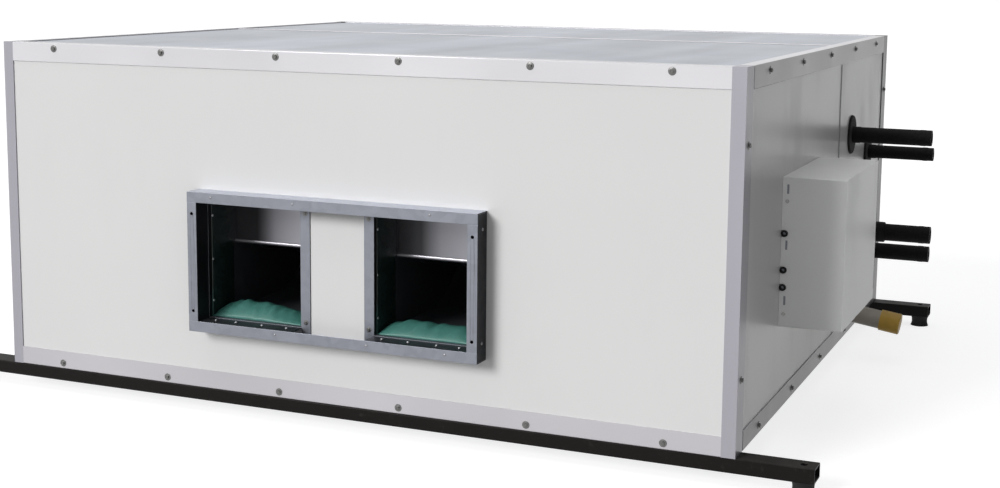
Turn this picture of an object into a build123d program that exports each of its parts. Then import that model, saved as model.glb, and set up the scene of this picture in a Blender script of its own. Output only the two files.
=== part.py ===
"""A large ducted air conditioner for hanging above a ceiling.

Millimetres. X runs to the right seen from the outlet side, Y to the return side, Z up.
The origin is in the middle of the four hanging holes, level with the feet of the rail isolators.
"""
import math
import os

from build123d import *

os.makedirs("parts", exist_ok=True)

# Casing
CASING_W = 1500.0
CASING_D = 1380.0
CASING_H = 650.0
FAN_SECTION_D = 817.0
SHEET_T = 1.2
PAN_D = 12.0
PANEL_JOINT = 1.0

# Edge trims
TRIM_T = 2.0
TRIM_BEND = 5.0
TRIM_FOLD = 1.8
POST_FRONT_LEG = 25.0
POST_SIDE_LEG = 50.0
TRIM_FLAT_LEG = 25.0
TOP_TRIM_FRONT = 37.0
TOP_TRIM_SIDE = 40.0
BOTTOM_TRIM = 35.0

# Screws of the casing
SCREW_HEAD = 8.0
SCREW_H = 4.0
SCREW_WASHER = 14.0
WASHER_T = 1.2
SCREW_FROM_EDGE = 11.0
SIDE_SCREW_FROM_EDGE = 14.0
FRONT_SCREW_PITCH = 250.0
FRONT_SCREWS = 6
SIDE_SCREW_PITCH = 265.0
SIDE_SCREWS = 5
POST_SCREW_FROM_FRONT = 24.0
POST_SCREW_INSET = 129.0

# Rails and isolators
RAIL_H = 26.0
RAIL_D = 45.0
RAIL_WALL = 3.0
RAIL_BEND = 3.0
RAIL_OVERHANG = 132.0
HANGING_HOLE_R = 6.0
HANGING_HOLE_FROM_END = 22.0
ISOLATOR_H = 24.0
ISOLATOR_R = 21.0
ISOLATOR_WAIST = 3.0

# Outlet
WINDOW_W = 202.0
WINDOW_H = 226.0
WINDOW_GAP = 150.0
WINDOW_Z = 139.0
OUTLET_FLANGE = 20.0
OUTLET_DEPTH = 40.0
DIVIDER_W = 19.0
OUTLET_T = 2.0
THROAT_DEPTH = 26.0
THROAT_T = 1.2
FLANGE_HOLE_R = 3.0
FLANGE_HOLE_SPACING = 185.0
FLANGE_HOLE_Z = 158.5
FLEX_START = 10.0
FLEX_GAP = 0.3
FLEX_T = 2.0

# Fans
FAN_FROM_FRONT = 230.0
FAN_OUTLET_FROM_FRONT = 85.0
WHEEL_R = 115.0
WHEEL_SIDE_GAP = 7.0
BLADE_COUNT = 32
BLADE_T = 1.6
BLADE_DEPTH = 20.0
BLADE_LEAN = 9.0
BLADE_BELLY = 2.5
BLADE_BELLY_R = 106.0
WHEEL_RING_T = 3.0
WHEEL_DISC_T = 3.0
HUB_R = 27.0
HUB_L = 40.0
SCROLL_FRONT_R = 135.0
SCROLL_STEP = 25.0
SCROLL_T = 1.6
TONGUE_ANGLE = 222.0
TONGUE_LIP = 8.0
CUTOFF_SET_BACK = 5.0
CUTOFF_T = 1.5
INLET_R = 92.0
INLET_LIP = 6.0
INLET_LIP_T = 3.0
INLET_DEPTH = 4.0
SHAFT_R = 12.5
SHAFT_FIT = 0.05
SHAFT_CHAMFER = 1.5
BEARING_FROM_FAN = 42.0
BEARING_W = 36.0
BEARING_R = 32.0
BEARING_BASE_L = 140.0
BEARING_BASE_H = 15.0
BEARING_AXIS_H = 36.0
BEARING_BOLT_SPACING = 105.0
BEARING_BOLT_HEAD_R = 9.0
BEARING_BOLT_HEAD_H = 7.0
BEARING_WEB = 14.0
BEARING_BRACKET_W = 40.0
BRACKET_T = 4.0
BRACKET_FOOT_L = 220.0
STAND_FLANGE = 40.0
STAND_T = 3.0

# Drive
MOTOR_FROM_FRONT = 600.0
MOTOR_AXIS_Z = 150.0
MOTOR_R = 78.0
MOTOR_L = 220.0
MOTOR_END_L = 26.0
MOTOR_END_TAPER = 35.0
MOTOR_NOSE = 14.0
MOTOR_NECK = 90.0
MOTOR_AXIS_H = 90.0
MOTOR_SHAFT_IN = 60.0
TERMINAL_BOX = 80.0
TERMINAL_BOX_H = 24.0
SLIDE_RAIL_W = 36.0
SLIDE_RAIL_L = 260.0
MOTOR_FIN_H = 8.0
MOTOR_FIN_T = 3.0
MOTOR_FIN_ROOT = 1.0
MOTOR_FINS = 24
MOTOR_SHAFT_R = 12.0
MOTOR_FOOT_L = 130.0
MOTOR_FOOT_W = 150.0
MOTOR_FOOT_H = 12.0
DRIVEN_PULLEY_R = 80.0
MOTOR_PULLEY_R = 50.0
PULLEY_W = 20.0
PULLEY_RIM = 20.0
PULLEY_RECESS = 5.0
PULLEY_HOLES = 4
PULLEY_HOLE_R = 10.0
PULLEY_FROM_BEARING = 50.0
BELT_W = 13.0
BELT_H = 8.0
BELT_FLANK = 20.0
BELT_GAP = 0.3
GROOVE_EXTRA = 2.5

# Coil
COIL_FROM_FRONT = 1000.0
COIL_D = 120.0
COIL_SIDE_ROOM = 110.0
COIL_TOP_GAP = 30.0
COIL_Z = 102.0
END_PLATE_T = 2.0
BEND_ROWS = 8
BEND_COLUMNS = 2
BEND_TUBE_R = 5.0
DRAIN_PAN_D = 260.0
DRAIN_PAN_OVERHANG = 24.0
DRAIN_PAN_FROM_FRONT = 930.0
DRAIN_PAN_LIFT = 24.0
DRAIN_PAN_H = 58.0
PAN_SUPPORT_W = 40.0
DRAIN_PAN_T = 1.5
COIL_BAFFLE_T = 1.5

# Refrigerant pipes: distance from the front, height, sleeve radius, copper radius, reach beyond the side
PIPES = (
    (953.0, 450.0, 17.0, 11.1, 170.0),
    (1165.0, 391.0, 15.0, 6.4, 148.0),
    (953.0, 240.0, 18.5, 11.1, 176.0),
    (1165.0, 160.0, 18.0, 6.4, 148.0),
)
COPPER_WALL = 1.2
COPPER_RECESS = 14.0
ROSETTE_R = 42.0
ROSETTE_T = 5.0
ROSETTE_ROUND = 3.0
SLEEVE_GAP = 0.2
HEADER_EXTRA = 5.0
HEADER_STUBS = 4
STUB_R = 5.0
STUB_CLEAR = 1.4
STUB_IN = 12.0
SLEEVE_START = 4.0
COPPER_BORE_L = 60.0
HEADER_L = 180.0
HEADER_FROM_SIDE = 62.0

# Drain
DRAIN_FROM_FRONT = 950.0
DRAIN_Z = 57.0
DRAIN_SLOPE = 8.6
DRAIN_R = 20.0
DRAIN_WALL = 3.0
DRAIN_HOLE_GAP = 2.0
DRAIN_OUT = 122.0
CAP_WALL = 2.4
CAP_L = 43.0
CAP_GAP = 0.3
CAP_ROUND = 1.9

# Control box
BOX_FROM_FRONT = 295.0
BOX_L = 325.0
BOX_Z = 162.0
BOX_H = 275.0
BOX_DEPTH = 115.0
BOX_T = 1.5
BOX_FLANGE = 14.0
BOX_FIT = 0.3
BOX_BEND = 2.5
SLOT_FROM_PANEL = 10.0
SLOT_W = 4.0
SLOT_H = 17.0
SLOTS_Z = (415.0, 313.0, 211.0)
GROMMET_L = 5.0
TERMINAL_L = 150.0
TERMINAL_H = 34.0
TERMINAL_D = 26.0
TERMINAL_FROM_BASE = 28.0
TERMINAL_WAYS = 10
TERMINAL_SLOT = 9.0
TERMINAL_RIB = 3.0
CONTACTOR_W = 56.0
CONTACTOR_H = 84.0
CONTACTOR_D = 62.0
CONTACTOR_NOSE = 12.0
CONTACTOR_IN = 36.0
CONTACTOR_FROM_BASE = 100.0
BOARD_L = 170.0
BOARD_H = 130.0
BOARD_T = 1.6
BOARD_IN = 120.0
BOARD_STANDOFF = 12.0
STANDOFF_R = 4.0
RELAY = 20.0
CABLE_HOLE_R = 6.0
CABLE_HOLES_Z = (334.0, 267.0, 235.0)

# Return side and filters
RETURN_W = 1280.0
RETURN_Z = 62.0
RETURN_TOP_GAP = 50.0
FILTER_OVERLAP = 10.0
FILTER_CLEAR = 1.0
CHANNEL_LEG = 22.0
CHANNEL_T = 1.5
FILTER_T = 20.0
FILTER_FIT = 0.5
FILTER_BAR = 18.0
FILTER_MESH_T = 4.0
FILTER_MESH_SEAT = 4.0
FILTER_MIDDLE_GAP = 1.0

# Sizes and places that follow
COIL_W = CASING_W - 2 * COIL_SIDE_ROOM
DRAIN_PAN_W = COIL_W + 2 * DRAIN_PAN_OVERHANG
FRONT_Y = -CASING_D / 2
REAR_Y = CASING_D / 2
SIDE_X = CASING_W / 2
BASE_Z = ISOLATOR_H + RAIL_H
TOP_Z = BASE_Z + CASING_H
SKIN_FRONT_Y = FRONT_Y + TRIM_T
SKIN_REAR_Y = REAR_Y - TRIM_T
SKIN_X = SIDE_X - TRIM_T
SKIN_BASE_Z = BASE_Z + TRIM_T
SKIN_TOP_Z = TOP_Z - TRIM_T
INNER_X = SKIN_X - PAN_D
FLOOR_Z = SKIN_BASE_Z + PAN_D
CEILING_Z = SKIN_TOP_Z - PAN_D
SECTION_Y = FRONT_Y + FAN_SECTION_D
HANGING_X = SIDE_X + RAIL_OVERHANG - HANGING_HOLE_FROM_END
HANGING_Y = REAR_Y - RAIL_D / 2


def save(piece, name):
    """Label a finished piece and write it."""
    piece.part.label = name
    export_step(piece.part, f"parts/{name}.step")


def block(x, y, z, mode=Mode.ADD):
    """A block between a low and a high end on each axis."""
    with Locations(((x[0] + x[1]) / 2, (y[0] + y[1]) / 2, (z[0] + z[1]) / 2)):
        Box(x[1] - x[0], y[1] - y[0], z[1] - z[0], mode=mode)


# Sheet panels: folded pans with an insulation pad in each
def pan(plane, u, v, windows=(), round_holes=()):
    """A folded sheet pan and its pad. The plane lies on the outer face, with its normal outwards."""
    centre = ((u[0] + u[1]) / 2, (v[0] + v[1]) / 2)
    width = u[1] - u[0]
    height = v[1] - v[0]
    with BuildSketch(plane) as cuts:
        for window_u, window_v in windows:
            with Locations(((window_u[0] + window_u[1]) / 2, (window_v[0] + window_v[1]) / 2)):
                Rectangle(window_u[1] - window_u[0], window_v[1] - window_v[0])
        for hole_u, hole_v, radius in round_holes:
            with Locations((hole_u, hole_v)):
                Circle(radius)
    with BuildPart() as sheet:
        with BuildSketch(plane):
            with Locations(centre):
                Rectangle(width, height)
        extrude(amount=-PAN_D)
        with BuildSketch(plane.offset(-SHEET_T)):
            with Locations(centre):
                Rectangle(width - 2 * SHEET_T, height - 2 * SHEET_T)
        extrude(amount=-(PAN_D - SHEET_T), mode=Mode.SUBTRACT)
        if windows or round_holes:
            extrude(cuts.sketch, amount=-SHEET_T, mode=Mode.SUBTRACT)
    with BuildPart() as pad:
        with BuildSketch(plane.offset(-PAN_D)):
            with Locations(centre):
                Rectangle(width - 2 * SHEET_T, height - 2 * SHEET_T)
        extrude(amount=PAN_D - SHEET_T)
        if windows or round_holes:
            extrude(cuts.sketch, amount=-PAN_D, mode=Mode.SUBTRACT)
    return sheet, pad


pads = []

front_plane = Plane(origin=(0, SKIN_FRONT_Y, 0), x_dir=(1, 0, 0), z_dir=(0, -1, 0))
window_z = (BASE_Z + WINDOW_Z, BASE_Z + WINDOW_Z + WINDOW_H)
window_x = (WINDOW_GAP / 2, WINDOW_GAP / 2 + WINDOW_W)
window_mid_x = (window_x[0] + window_x[1]) / 2
windows = [((-window_x[1], -window_x[0]), window_z), (window_x, window_z)]
front_panel, front_pad = pan(front_plane, (-INNER_X, INNER_X), (FLOOR_Z, CEILING_Z), windows)
pads.append(front_pad)
save(front_panel, "front_panel")

base_plane = Plane(origin=(0, 0, SKIN_BASE_Z), x_dir=(1, 0, 0), z_dir=(0, 0, -1))
base_panel, base_pad = pan(base_plane, (-SKIN_X, SKIN_X), (-SKIN_REAR_Y, SKIN_REAR_Y))
pads.append(base_pad)
save(base_panel, "base_panel")

fan_section = (SKIN_FRONT_Y, SECTION_Y - PANEL_JOINT / 2)
coil_section = (SECTION_Y + PANEL_JOINT / 2, SKIN_REAR_Y)
top_plane = Plane(origin=(0, 0, SKIN_TOP_Z), x_dir=(1, 0, 0), z_dir=(0, 0, 1))
for name, section in (("top_panel_fan", fan_section), ("top_panel_coil", coil_section)):
    sheet, pad = pan(top_plane, (-SKIN_X, SKIN_X), section)
    pads.append(pad)
    save(sheet, name)

pipe_holes = [(FRONT_Y + y, BASE_Z + z, sleeve + SLEEVE_GAP) for y, z, sleeve, copper, out in PIPES]
drain_fall = math.tan(math.radians(DRAIN_SLOPE))
drain_hole = (FRONT_Y + DRAIN_FROM_FRONT, BASE_Z + DRAIN_Z + drain_fall * PAN_D / 2, DRAIN_R + DRAIN_HOLE_GAP)
cable_holes = [(FRONT_Y + BOX_FROM_FRONT + BOX_FLANGE * 2, BASE_Z + z, CABLE_HOLE_R) for z in CABLE_HOLES_Z]
right_plane = Plane(origin=(SKIN_X, 0, 0), x_dir=(0, 1, 0), z_dir=(1, 0, 0))
left_plane = Plane(origin=(-SKIN_X, 0, 0), x_dir=(0, -1, 0), z_dir=(-1, 0, 0))
side_height = (FLOOR_Z, CEILING_Z)
side_pans = (
    ("right_panel_fan", right_plane, fan_section, cable_holes),
    ("right_panel_coil", right_plane, coil_section, pipe_holes + [drain_hole]),
    ("left_panel_fan", left_plane, (-fan_section[1], -fan_section[0]), ()),
    ("left_panel_coil", left_plane, (-coil_section[1], -coil_section[0]), ()),
)
for name, plane, length, holes in side_pans:
    sheet, pad = pan(plane, length, side_height, round_holes=holes)
    pads.append(pad)
    save(sheet, name)

rear_plane = Plane(origin=(0, SKIN_REAR_Y, 0), x_dir=(-1, 0, 0), z_dir=(0, 1, 0))
return_z = (BASE_Z + RETURN_Z, TOP_Z - RETURN_TOP_GAP)
return_window = ((-RETURN_W / 2, RETURN_W / 2), return_z)
rear_panel, rear_pad = pan(rear_plane, (-INNER_X, INNER_X), (FLOOR_Z, CEILING_Z), [return_window])
pads.append(rear_pad)
save(rear_panel, "rear_panel")

with BuildPart() as insulation_pads:
    for pad in pads:
        add(pad.part)
save(insulation_pads, "insulation_pads")

# Corner posts: folded angles closed at both ends
post_corners = (
    ((-SIDE_X, FRONT_Y), (1, 0, 0), POST_FRONT_LEG, POST_SIDE_LEG),
    ((SIDE_X, FRONT_Y), (0, 1, 0), POST_SIDE_LEG, POST_FRONT_LEG),
    ((SIDE_X, REAR_Y), (-1, 0, 0), POST_FRONT_LEG, POST_SIDE_LEG),
    ((-SIDE_X, REAR_Y), (0, -1, 0), POST_SIDE_LEG, POST_FRONT_LEG),
)
with BuildPart() as corner_posts:
    for (x, y), along, leg_u, leg_v in post_corners:
        foot = Plane(origin=(x, y, BASE_Z), x_dir=along, z_dir=(0, 0, 1))
        with BuildSketch(foot) as outline:
            with Locations((leg_u / 2, leg_v / 2)):
                Rectangle(leg_u, leg_v)
            fillet(outline.vertices().sort_by_distance(foot.origin)[0], TRIM_BEND)
        extrude(amount=CASING_H)
        with BuildSketch(foot.offset(TRIM_T)):
            with Locations((TRIM_T + leg_u / 2, TRIM_T + leg_v / 2)):
                Rectangle(leg_u, leg_v)
        extrude(amount=CASING_H - 2 * TRIM_T, mode=Mode.SUBTRACT)
save(corner_posts, "corner_posts")


# Edge trims: folded angles between the posts
def edge_trims(rows):
    """Angles with their bend on an edge: start, direction along, first leg's direction, both legs, length."""
    with BuildPart() as trims:
        for start, along, first, leg_u, leg_v, length in rows:
            corner = Plane(origin=start, x_dir=first, z_dir=along)
            with BuildSketch(corner) as profile:
                with BuildLine():
                    Polyline((0, 0), (leg_u, 0), (leg_u, TRIM_T), (TRIM_T, TRIM_T), (TRIM_T, leg_v),
                             (0, leg_v), close=True)
                make_face()
                fillet(profile.vertices().sort_by_distance(corner.origin)[0], TRIM_FOLD)
            extrude(amount=length)
    return trims


trim_x = SIDE_X - POST_FRONT_LEG
trim_y = REAR_Y - POST_SIDE_LEG
top_trims = edge_trims((
    ((-trim_x, FRONT_Y, TOP_Z), (1, 0, 0), (0, 0, -1), TOP_TRIM_FRONT, TRIM_FLAT_LEG, 2 * trim_x),
    ((-trim_x, REAR_Y, TOP_Z), (1, 0, 0), (0, -1, 0), TRIM_FLAT_LEG, TOP_TRIM_FRONT, 2 * trim_x),
    ((SIDE_X, -trim_y, TOP_Z), (0, 1, 0), (0, 0, -1), TOP_TRIM_SIDE, TRIM_FLAT_LEG, 2 * trim_y),
    ((-SIDE_X, -trim_y, TOP_Z), (0, 1, 0), (1, 0, 0), TRIM_FLAT_LEG, TOP_TRIM_SIDE, 2 * trim_y),
))
save(top_trims, "top_trims")
bottom_trims = edge_trims((
    ((-trim_x, FRONT_Y, BASE_Z), (1, 0, 0), (0, 1, 0), TRIM_FLAT_LEG, BOTTOM_TRIM, 2 * trim_x),
    ((-trim_x, REAR_Y, BASE_Z), (1, 0, 0), (0, 0, 1), BOTTOM_TRIM, TRIM_FLAT_LEG, 2 * trim_x),
    ((SIDE_X, -trim_y, BASE_Z), (0, 1, 0), (-1, 0, 0), TRIM_FLAT_LEG, BOTTOM_TRIM, 2 * trim_y),
    ((-SIDE_X, -trim_y, BASE_Z), (0, 1, 0), (0, 0, 1), BOTTOM_TRIM, TRIM_FLAT_LEG, 2 * trim_y),
))
save(bottom_trims, "bottom_trims")


# Washer-head screws, standing on a face
def screw_heads(rows):
    """Hexagon heads on washers, each group on a plane whose normal points outwards."""
    with BuildPart() as screws:
        for plane, places in rows:
            with BuildSketch(plane):
                with Locations(places):
                    RegularPolygon(SCREW_WASHER / 2, 8)
            extrude(amount=WASHER_T)
            with BuildSketch(plane.offset(WASHER_T)):
                with Locations(places):
                    RegularPolygon(SCREW_HEAD / 2, 6)
            extrude(amount=SCREW_H - WASHER_T)
    return screws


front_face = Plane(origin=(0, FRONT_Y, 0), x_dir=(1, 0, 0), z_dir=(0, -1, 0))
rear_face = Plane(origin=(0, REAR_Y, 0), x_dir=(-1, 0, 0), z_dir=(0, 1, 0))
right_face = Plane(origin=(SIDE_X, 0, 0), x_dir=(0, 1, 0), z_dir=(1, 0, 0))
left_face = Plane(origin=(-SIDE_X, 0, 0), x_dir=(0, -1, 0), z_dir=(-1, 0, 0))
screw_rows_x = [(i - (FRONT_SCREWS - 1) / 2) * FRONT_SCREW_PITCH for i in range(FRONT_SCREWS)]
screw_rows_y = [(i - (SIDE_SCREWS - 1) / 2) * SIDE_SCREW_PITCH for i in range(SIDE_SCREWS)]
front_heights = (BASE_Z + SCREW_FROM_EDGE, TOP_Z - SCREW_FROM_EDGE)
side_heights = (BASE_Z + SIDE_SCREW_FROM_EDGE, TOP_Z - SIDE_SCREW_FROM_EDGE)
post_heights = (BASE_Z + POST_SCREW_INSET, TOP_Z - POST_SCREW_INSET)
post_screw_y = REAR_Y - POST_SCREW_FROM_FRONT
front_places = [(x, z) for x in screw_rows_x for z in front_heights]
side_places = [(y, z) for y in screw_rows_y for z in side_heights]
side_places += [(y, z) for y in (-post_screw_y, post_screw_y) for z in post_heights]
casing_screws = screw_heads((
    (front_face, front_places),
    (rear_face, front_places),
    (right_face, side_places),
    (left_face, side_places),
))
save(casing_screws, "casing_screws")


# Support rails, hollow and drilled through, on rubber isolators
def support_rail(y):
    """A hollow rail across the casing's underside, centred on y."""
    length = 2 * (SIDE_X + RAIL_OVERHANG)
    end = Plane(origin=(-length / 2, y, ISOLATOR_H + RAIL_H / 2), x_dir=(0, 1, 0), z_dir=(1, 0, 0))
    with BuildPart() as rail:
        with BuildSketch(end):
            RectangleRounded(RAIL_D, RAIL_H, RAIL_BEND)
            Rectangle(RAIL_D - 2 * RAIL_WALL, RAIL_H - 2 * RAIL_WALL, mode=Mode.SUBTRACT)
        extrude(amount=length)
        with BuildSketch(Plane.XY.offset(ISOLATOR_H)):
            with Locations((-HANGING_X, y), (HANGING_X, y)):
                Circle(HANGING_HOLE_R)
        extrude(amount=RAIL_H, mode=Mode.SUBTRACT)
    return rail


save(support_rail(-HANGING_Y), "front_rail")
save(support_rail(HANGING_Y), "rear_rail")

with BuildPart() as rail_isolators:
    with BuildSketch(Plane.XZ):
        with BuildLine():
            Line((HANGING_HOLE_R, 0), (ISOLATOR_R, 0))
            ThreePointArc((ISOLATOR_R, 0), (ISOLATOR_R - ISOLATOR_WAIST, ISOLATOR_H / 2),
                          (ISOLATOR_R, ISOLATOR_H))
            Line((ISOLATOR_R, ISOLATOR_H), (HANGING_HOLE_R, ISOLATOR_H))
            Line((HANGING_HOLE_R, ISOLATOR_H), (HANGING_HOLE_R, 0))
        make_face()
    revolve(axis=Axis.Z)
    isolator = rail_isolators.part
with BuildPart() as isolator_set:
    with Locations(*[(x, y, 0) for x in (-HANGING_X, HANGING_X) for y in (-HANGING_Y, HANGING_Y)]):
        add(isolator)
save(isolator_set, "rail_isolators")

# Outlet frame: angles standing on the front panel, with a flange turned inwards
outlet_x = window_x[1] + OUTLET_FLANGE
outlet_z = (window_z[0] - OUTLET_FLANGE, window_z[1] + OUTLET_FLANGE)
outlet_y = SKIN_FRONT_Y - OUTLET_DEPTH
web_y = (outlet_y, SKIN_FRONT_Y)
flange_y = (outlet_y, outlet_y + OUTLET_T)
flange_plane = Plane(origin=(0, outlet_y, 0), x_dir=(1, 0, 0), z_dir=(0, -1, 0))
flange_hole_x = window_x[1] + OUTLET_FLANGE / 2
flange_hole_z = BASE_Z + FLANGE_HOLE_Z
with BuildPart() as outlet_cross_angles:
    block((-outlet_x, outlet_x), web_y, (outlet_z[1] - OUTLET_T, outlet_z[1]))
    block((-outlet_x, outlet_x), flange_y, (window_z[1], outlet_z[1]))
    block((-outlet_x, outlet_x), web_y, (outlet_z[0], outlet_z[0] + OUTLET_T))
    block((-outlet_x, outlet_x), flange_y, (outlet_z[0], window_z[0]))
with BuildPart() as outlet_side_angles:
    for side in (-1, 1):
        side_web_x = sorted((side * outlet_x, side * (outlet_x - OUTLET_T)))
        side_lip_x = sorted((side * outlet_x, side * window_x[1]))
        block(side_web_x, (flange_y[1], web_y[1]), (outlet_z[0] + OUTLET_T, outlet_z[1] - OUTLET_T))
        block(side_lip_x, flange_y, window_z)
    with BuildSketch(flange_plane):
        with Locations(*[(side * flange_hole_x, flange_hole_z + rise) for side in (-1, 1)
                         for rise in (0, FLANGE_HOLE_SPACING)]):
            Circle(FLANGE_HOLE_R)
    extrude(amount=-OUTLET_T, mode=Mode.SUBTRACT)
save(outlet_cross_angles, "outlet_cross_angles")
save(outlet_side_angles, "outlet_side_angles")

# Throats: a sheet sleeve through each window, with a strip turned out over the panel between the windows
window_centres = [(side * window_mid_x, (window_z[0] + window_z[1]) / 2) for side in (-1, 1)]
with BuildPart() as outlet_throats:
    with BuildSketch(front_face):
        with Locations(window_centres):
            Rectangle(WINDOW_W, WINDOW_H)
            Rectangle(WINDOW_W - 2 * THROAT_T, WINDOW_H - 2 * THROAT_T, mode=Mode.SUBTRACT)
    extrude(amount=-THROAT_DEPTH)
    for side in (-1, 1):
        strip_x = sorted((side * window_x[0], side * (window_x[0] - DIVIDER_W)))
        block(strip_x, (FRONT_Y, SKIN_FRONT_Y), (outlet_z[0] + OUTLET_T, outlet_z[1] - OUTLET_T))
save(outlet_throats, "outlet_throats")

divider_screw_x = window_x[0] - DIVIDER_W / 2
divider_places = [(side * divider_screw_x, z) for side in (-1, 1)
                  for z in (window_z[0] + SCREW_FROM_EDGE, window_z[1] - SCREW_FROM_EDGE)]
outlet_screws = screw_heads(((front_face, divider_places),))
save(outlet_screws, "outlet_screws")

# Canvas connectors from the throats to the fan outlets
fan_y = FRONT_Y + FAN_FROM_FRONT
fan_z = BASE_Z + WINDOW_Z + SCROLL_FRONT_R + 3 * SCROLL_STEP
fan_outlet_y = FRONT_Y + FAN_OUTLET_FROM_FRONT
flex_plane = Plane(origin=(0, FRONT_Y + FLEX_START, 0), x_dir=(-1, 0, 0), z_dir=(0, 1, 0))
flex_l = fan_outlet_y - FLEX_GAP - FRONT_Y - FLEX_START
flex_w = WINDOW_W - 2 * THROAT_T - 2 * FLEX_GAP
flex_h = WINDOW_H - 2 * THROAT_T - 2 * FLEX_GAP
with BuildPart() as flex_connectors:
    with BuildSketch(flex_plane):
        with Locations(window_centres):
            Rectangle(flex_w, flex_h)
            Rectangle(flex_w - 2 * FLEX_T, flex_h - 2 * FLEX_T, mode=Mode.SUBTRACT)
    extrude(amount=flex_l)
save(flex_connectors, "flex_connectors")

# Fan housings: a scroll of four arcs round a square, each a step wider than the last
outlet_u = FAN_OUTLET_FROM_FRONT - FAN_FROM_FRONT
floor_v = -(SCROLL_FRONT_R + 3 * SCROLL_STEP)
half_step = SCROLL_STEP / 2
front_arc_r = SCROLL_FRONT_R + half_step
scroll_arcs = (
    ((-half_step, -half_step), front_arc_r + 2 * SCROLL_STEP, -90, 90),
    ((half_step, -half_step), front_arc_r + SCROLL_STEP, 0, 90),
    ((half_step, half_step), front_arc_r, 90, 90),
    ((-half_step, half_step), front_arc_r - SCROLL_STEP, 180, TONGUE_ANGLE - 180),
)


def on_circle(centre, radius, angle):
    """A point on a circle, the angle in degrees."""
    turn = math.radians(angle)
    return (centre[0] + radius * math.cos(turn), centre[1] + radius * math.sin(turn))


def fan_plane(x):
    """A plane across the fan axis, with its first axis to the rear and its second upwards."""
    return Plane(origin=(x, fan_y, fan_z), x_dir=(0, 1, 0), z_dir=(1, 0, 0))


tongue_centre, tongue_r = scroll_arcs[3][:2]
tongue_out = on_circle(tongue_centre, tongue_r, TONGUE_ANGLE)
tongue_in = on_circle(tongue_centre, tongue_r - SCROLL_T, TONGUE_ANGLE)
outlet_top_v = floor_v + WINDOW_H
for name, low_x in (("fan_housing_left", -window_x[1]), ("fan_housing_right", window_x[0])):
    with BuildPart() as fan_housing:
        with BuildSketch(fan_plane(low_x)):
            with BuildLine():
                Line((outlet_u, floor_v), (-half_step, floor_v))
                for centre, radius, start, turn in scroll_arcs:
                    CenterArc(centre, radius, start, turn)
                Line(tongue_out, tongue_in)
                for centre, radius, start, turn in reversed(scroll_arcs):
                    CenterArc(centre, radius - SCROLL_T, start, turn)
                Line((-half_step, floor_v + SCROLL_T), (outlet_u, floor_v + SCROLL_T))
                Line((outlet_u, floor_v + SCROLL_T), (outlet_u, floor_v))
            make_face()
        extrude(amount=WINDOW_W)
        for side_x in (low_x, low_x + WINDOW_W - SCROLL_T):
            with BuildSketch(fan_plane(side_x)):
                with BuildLine():
                    Line((outlet_u, floor_v), (-half_step, floor_v))
                    for centre, radius, start, turn in scroll_arcs[:3]:
                        CenterArc(centre, radius, start, turn)
                    Line((-SCROLL_FRONT_R, half_step), (outlet_u, outlet_top_v))
                    Line((outlet_u, outlet_top_v), (outlet_u, floor_v))
                make_face()
                Circle(INLET_R, mode=Mode.SUBTRACT)
            extrude(amount=SCROLL_T)
        for side_x, outward in ((low_x, -1), (low_x + WINDOW_W, 1)):
            ring_plane = Plane(origin=(side_x, fan_y, fan_z), x_dir=(0, 1, 0), z_dir=(0, 0, -outward))
            with BuildSketch(ring_plane):
                with BuildLine():
                    Polyline((INLET_R, -INLET_DEPTH), (INLET_R, 0), (INLET_R + INLET_LIP, INLET_LIP),
                             (INLET_R + INLET_LIP + INLET_LIP_T, INLET_LIP), (INLET_R + INLET_LIP_T, 0),
                             (INLET_R + INLET_LIP_T, -INLET_DEPTH), close=True)
                make_face()
            revolve(axis=Axis((side_x, fan_y, fan_z), (1, 0, 0)))
    save(fan_housing, name)

# Cut-off plates: a bright plate across the top of each fan outlet, bent back to the scroll's tongue
with BuildPart() as cutoff_plates:
    for low_x in (-window_x[1] + SCROLL_T, window_x[0] + SCROLL_T):
        lip_v = tongue_out[1] - TONGUE_LIP
        plate_u = outlet_u + CUTOFF_SET_BACK
        with BuildSketch(fan_plane(low_x)):
            with BuildLine():
                Polyline((plate_u, outlet_top_v), (plate_u, lip_v), (plate_u + TONGUE_LIP, lip_v), tongue_out,
                         (tongue_out[0] - CUTOFF_T, tongue_out[1] + CUTOFF_T),
                         (plate_u + TONGUE_LIP, lip_v + CUTOFF_T), (plate_u + CUTOFF_T, lip_v + CUTOFF_T),
                         (plate_u + CUTOFF_T, outlet_top_v), close=True)
            make_face()
        extrude(amount=WINDOW_W - 2 * SCROLL_T)
save(cutoff_plates, "cutoff_plates")

# Fan wheels: forward-curved blades between two rings, on a middle disc and hub
blade_inner_r = WHEEL_R - BLADE_DEPTH
blade_outer_r = WHEEL_R - BLADE_T
blade_slice = math.degrees(BLADE_T / blade_outer_r)
with BuildSketch() as blade:
    with BuildLine():
        ThreePointArc(on_circle((0, 0), blade_inner_r, 0), on_circle((0, 0), BLADE_BELLY_R, -BLADE_BELLY),
                      on_circle((0, 0), blade_outer_r, -BLADE_LEAN))
        Line(on_circle((0, 0), blade_outer_r, -BLADE_LEAN),
             on_circle((0, 0), blade_outer_r, -BLADE_LEAN - blade_slice))
        ThreePointArc(on_circle((0, 0), blade_outer_r, -BLADE_LEAN - blade_slice),
                      on_circle((0, 0), BLADE_BELLY_R, -BLADE_BELLY - blade_slice),
                      on_circle((0, 0), blade_inner_r, -blade_slice))
        Line(on_circle((0, 0), blade_inner_r, -blade_slice), on_circle((0, 0), blade_inner_r, 0))
    make_face()

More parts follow.
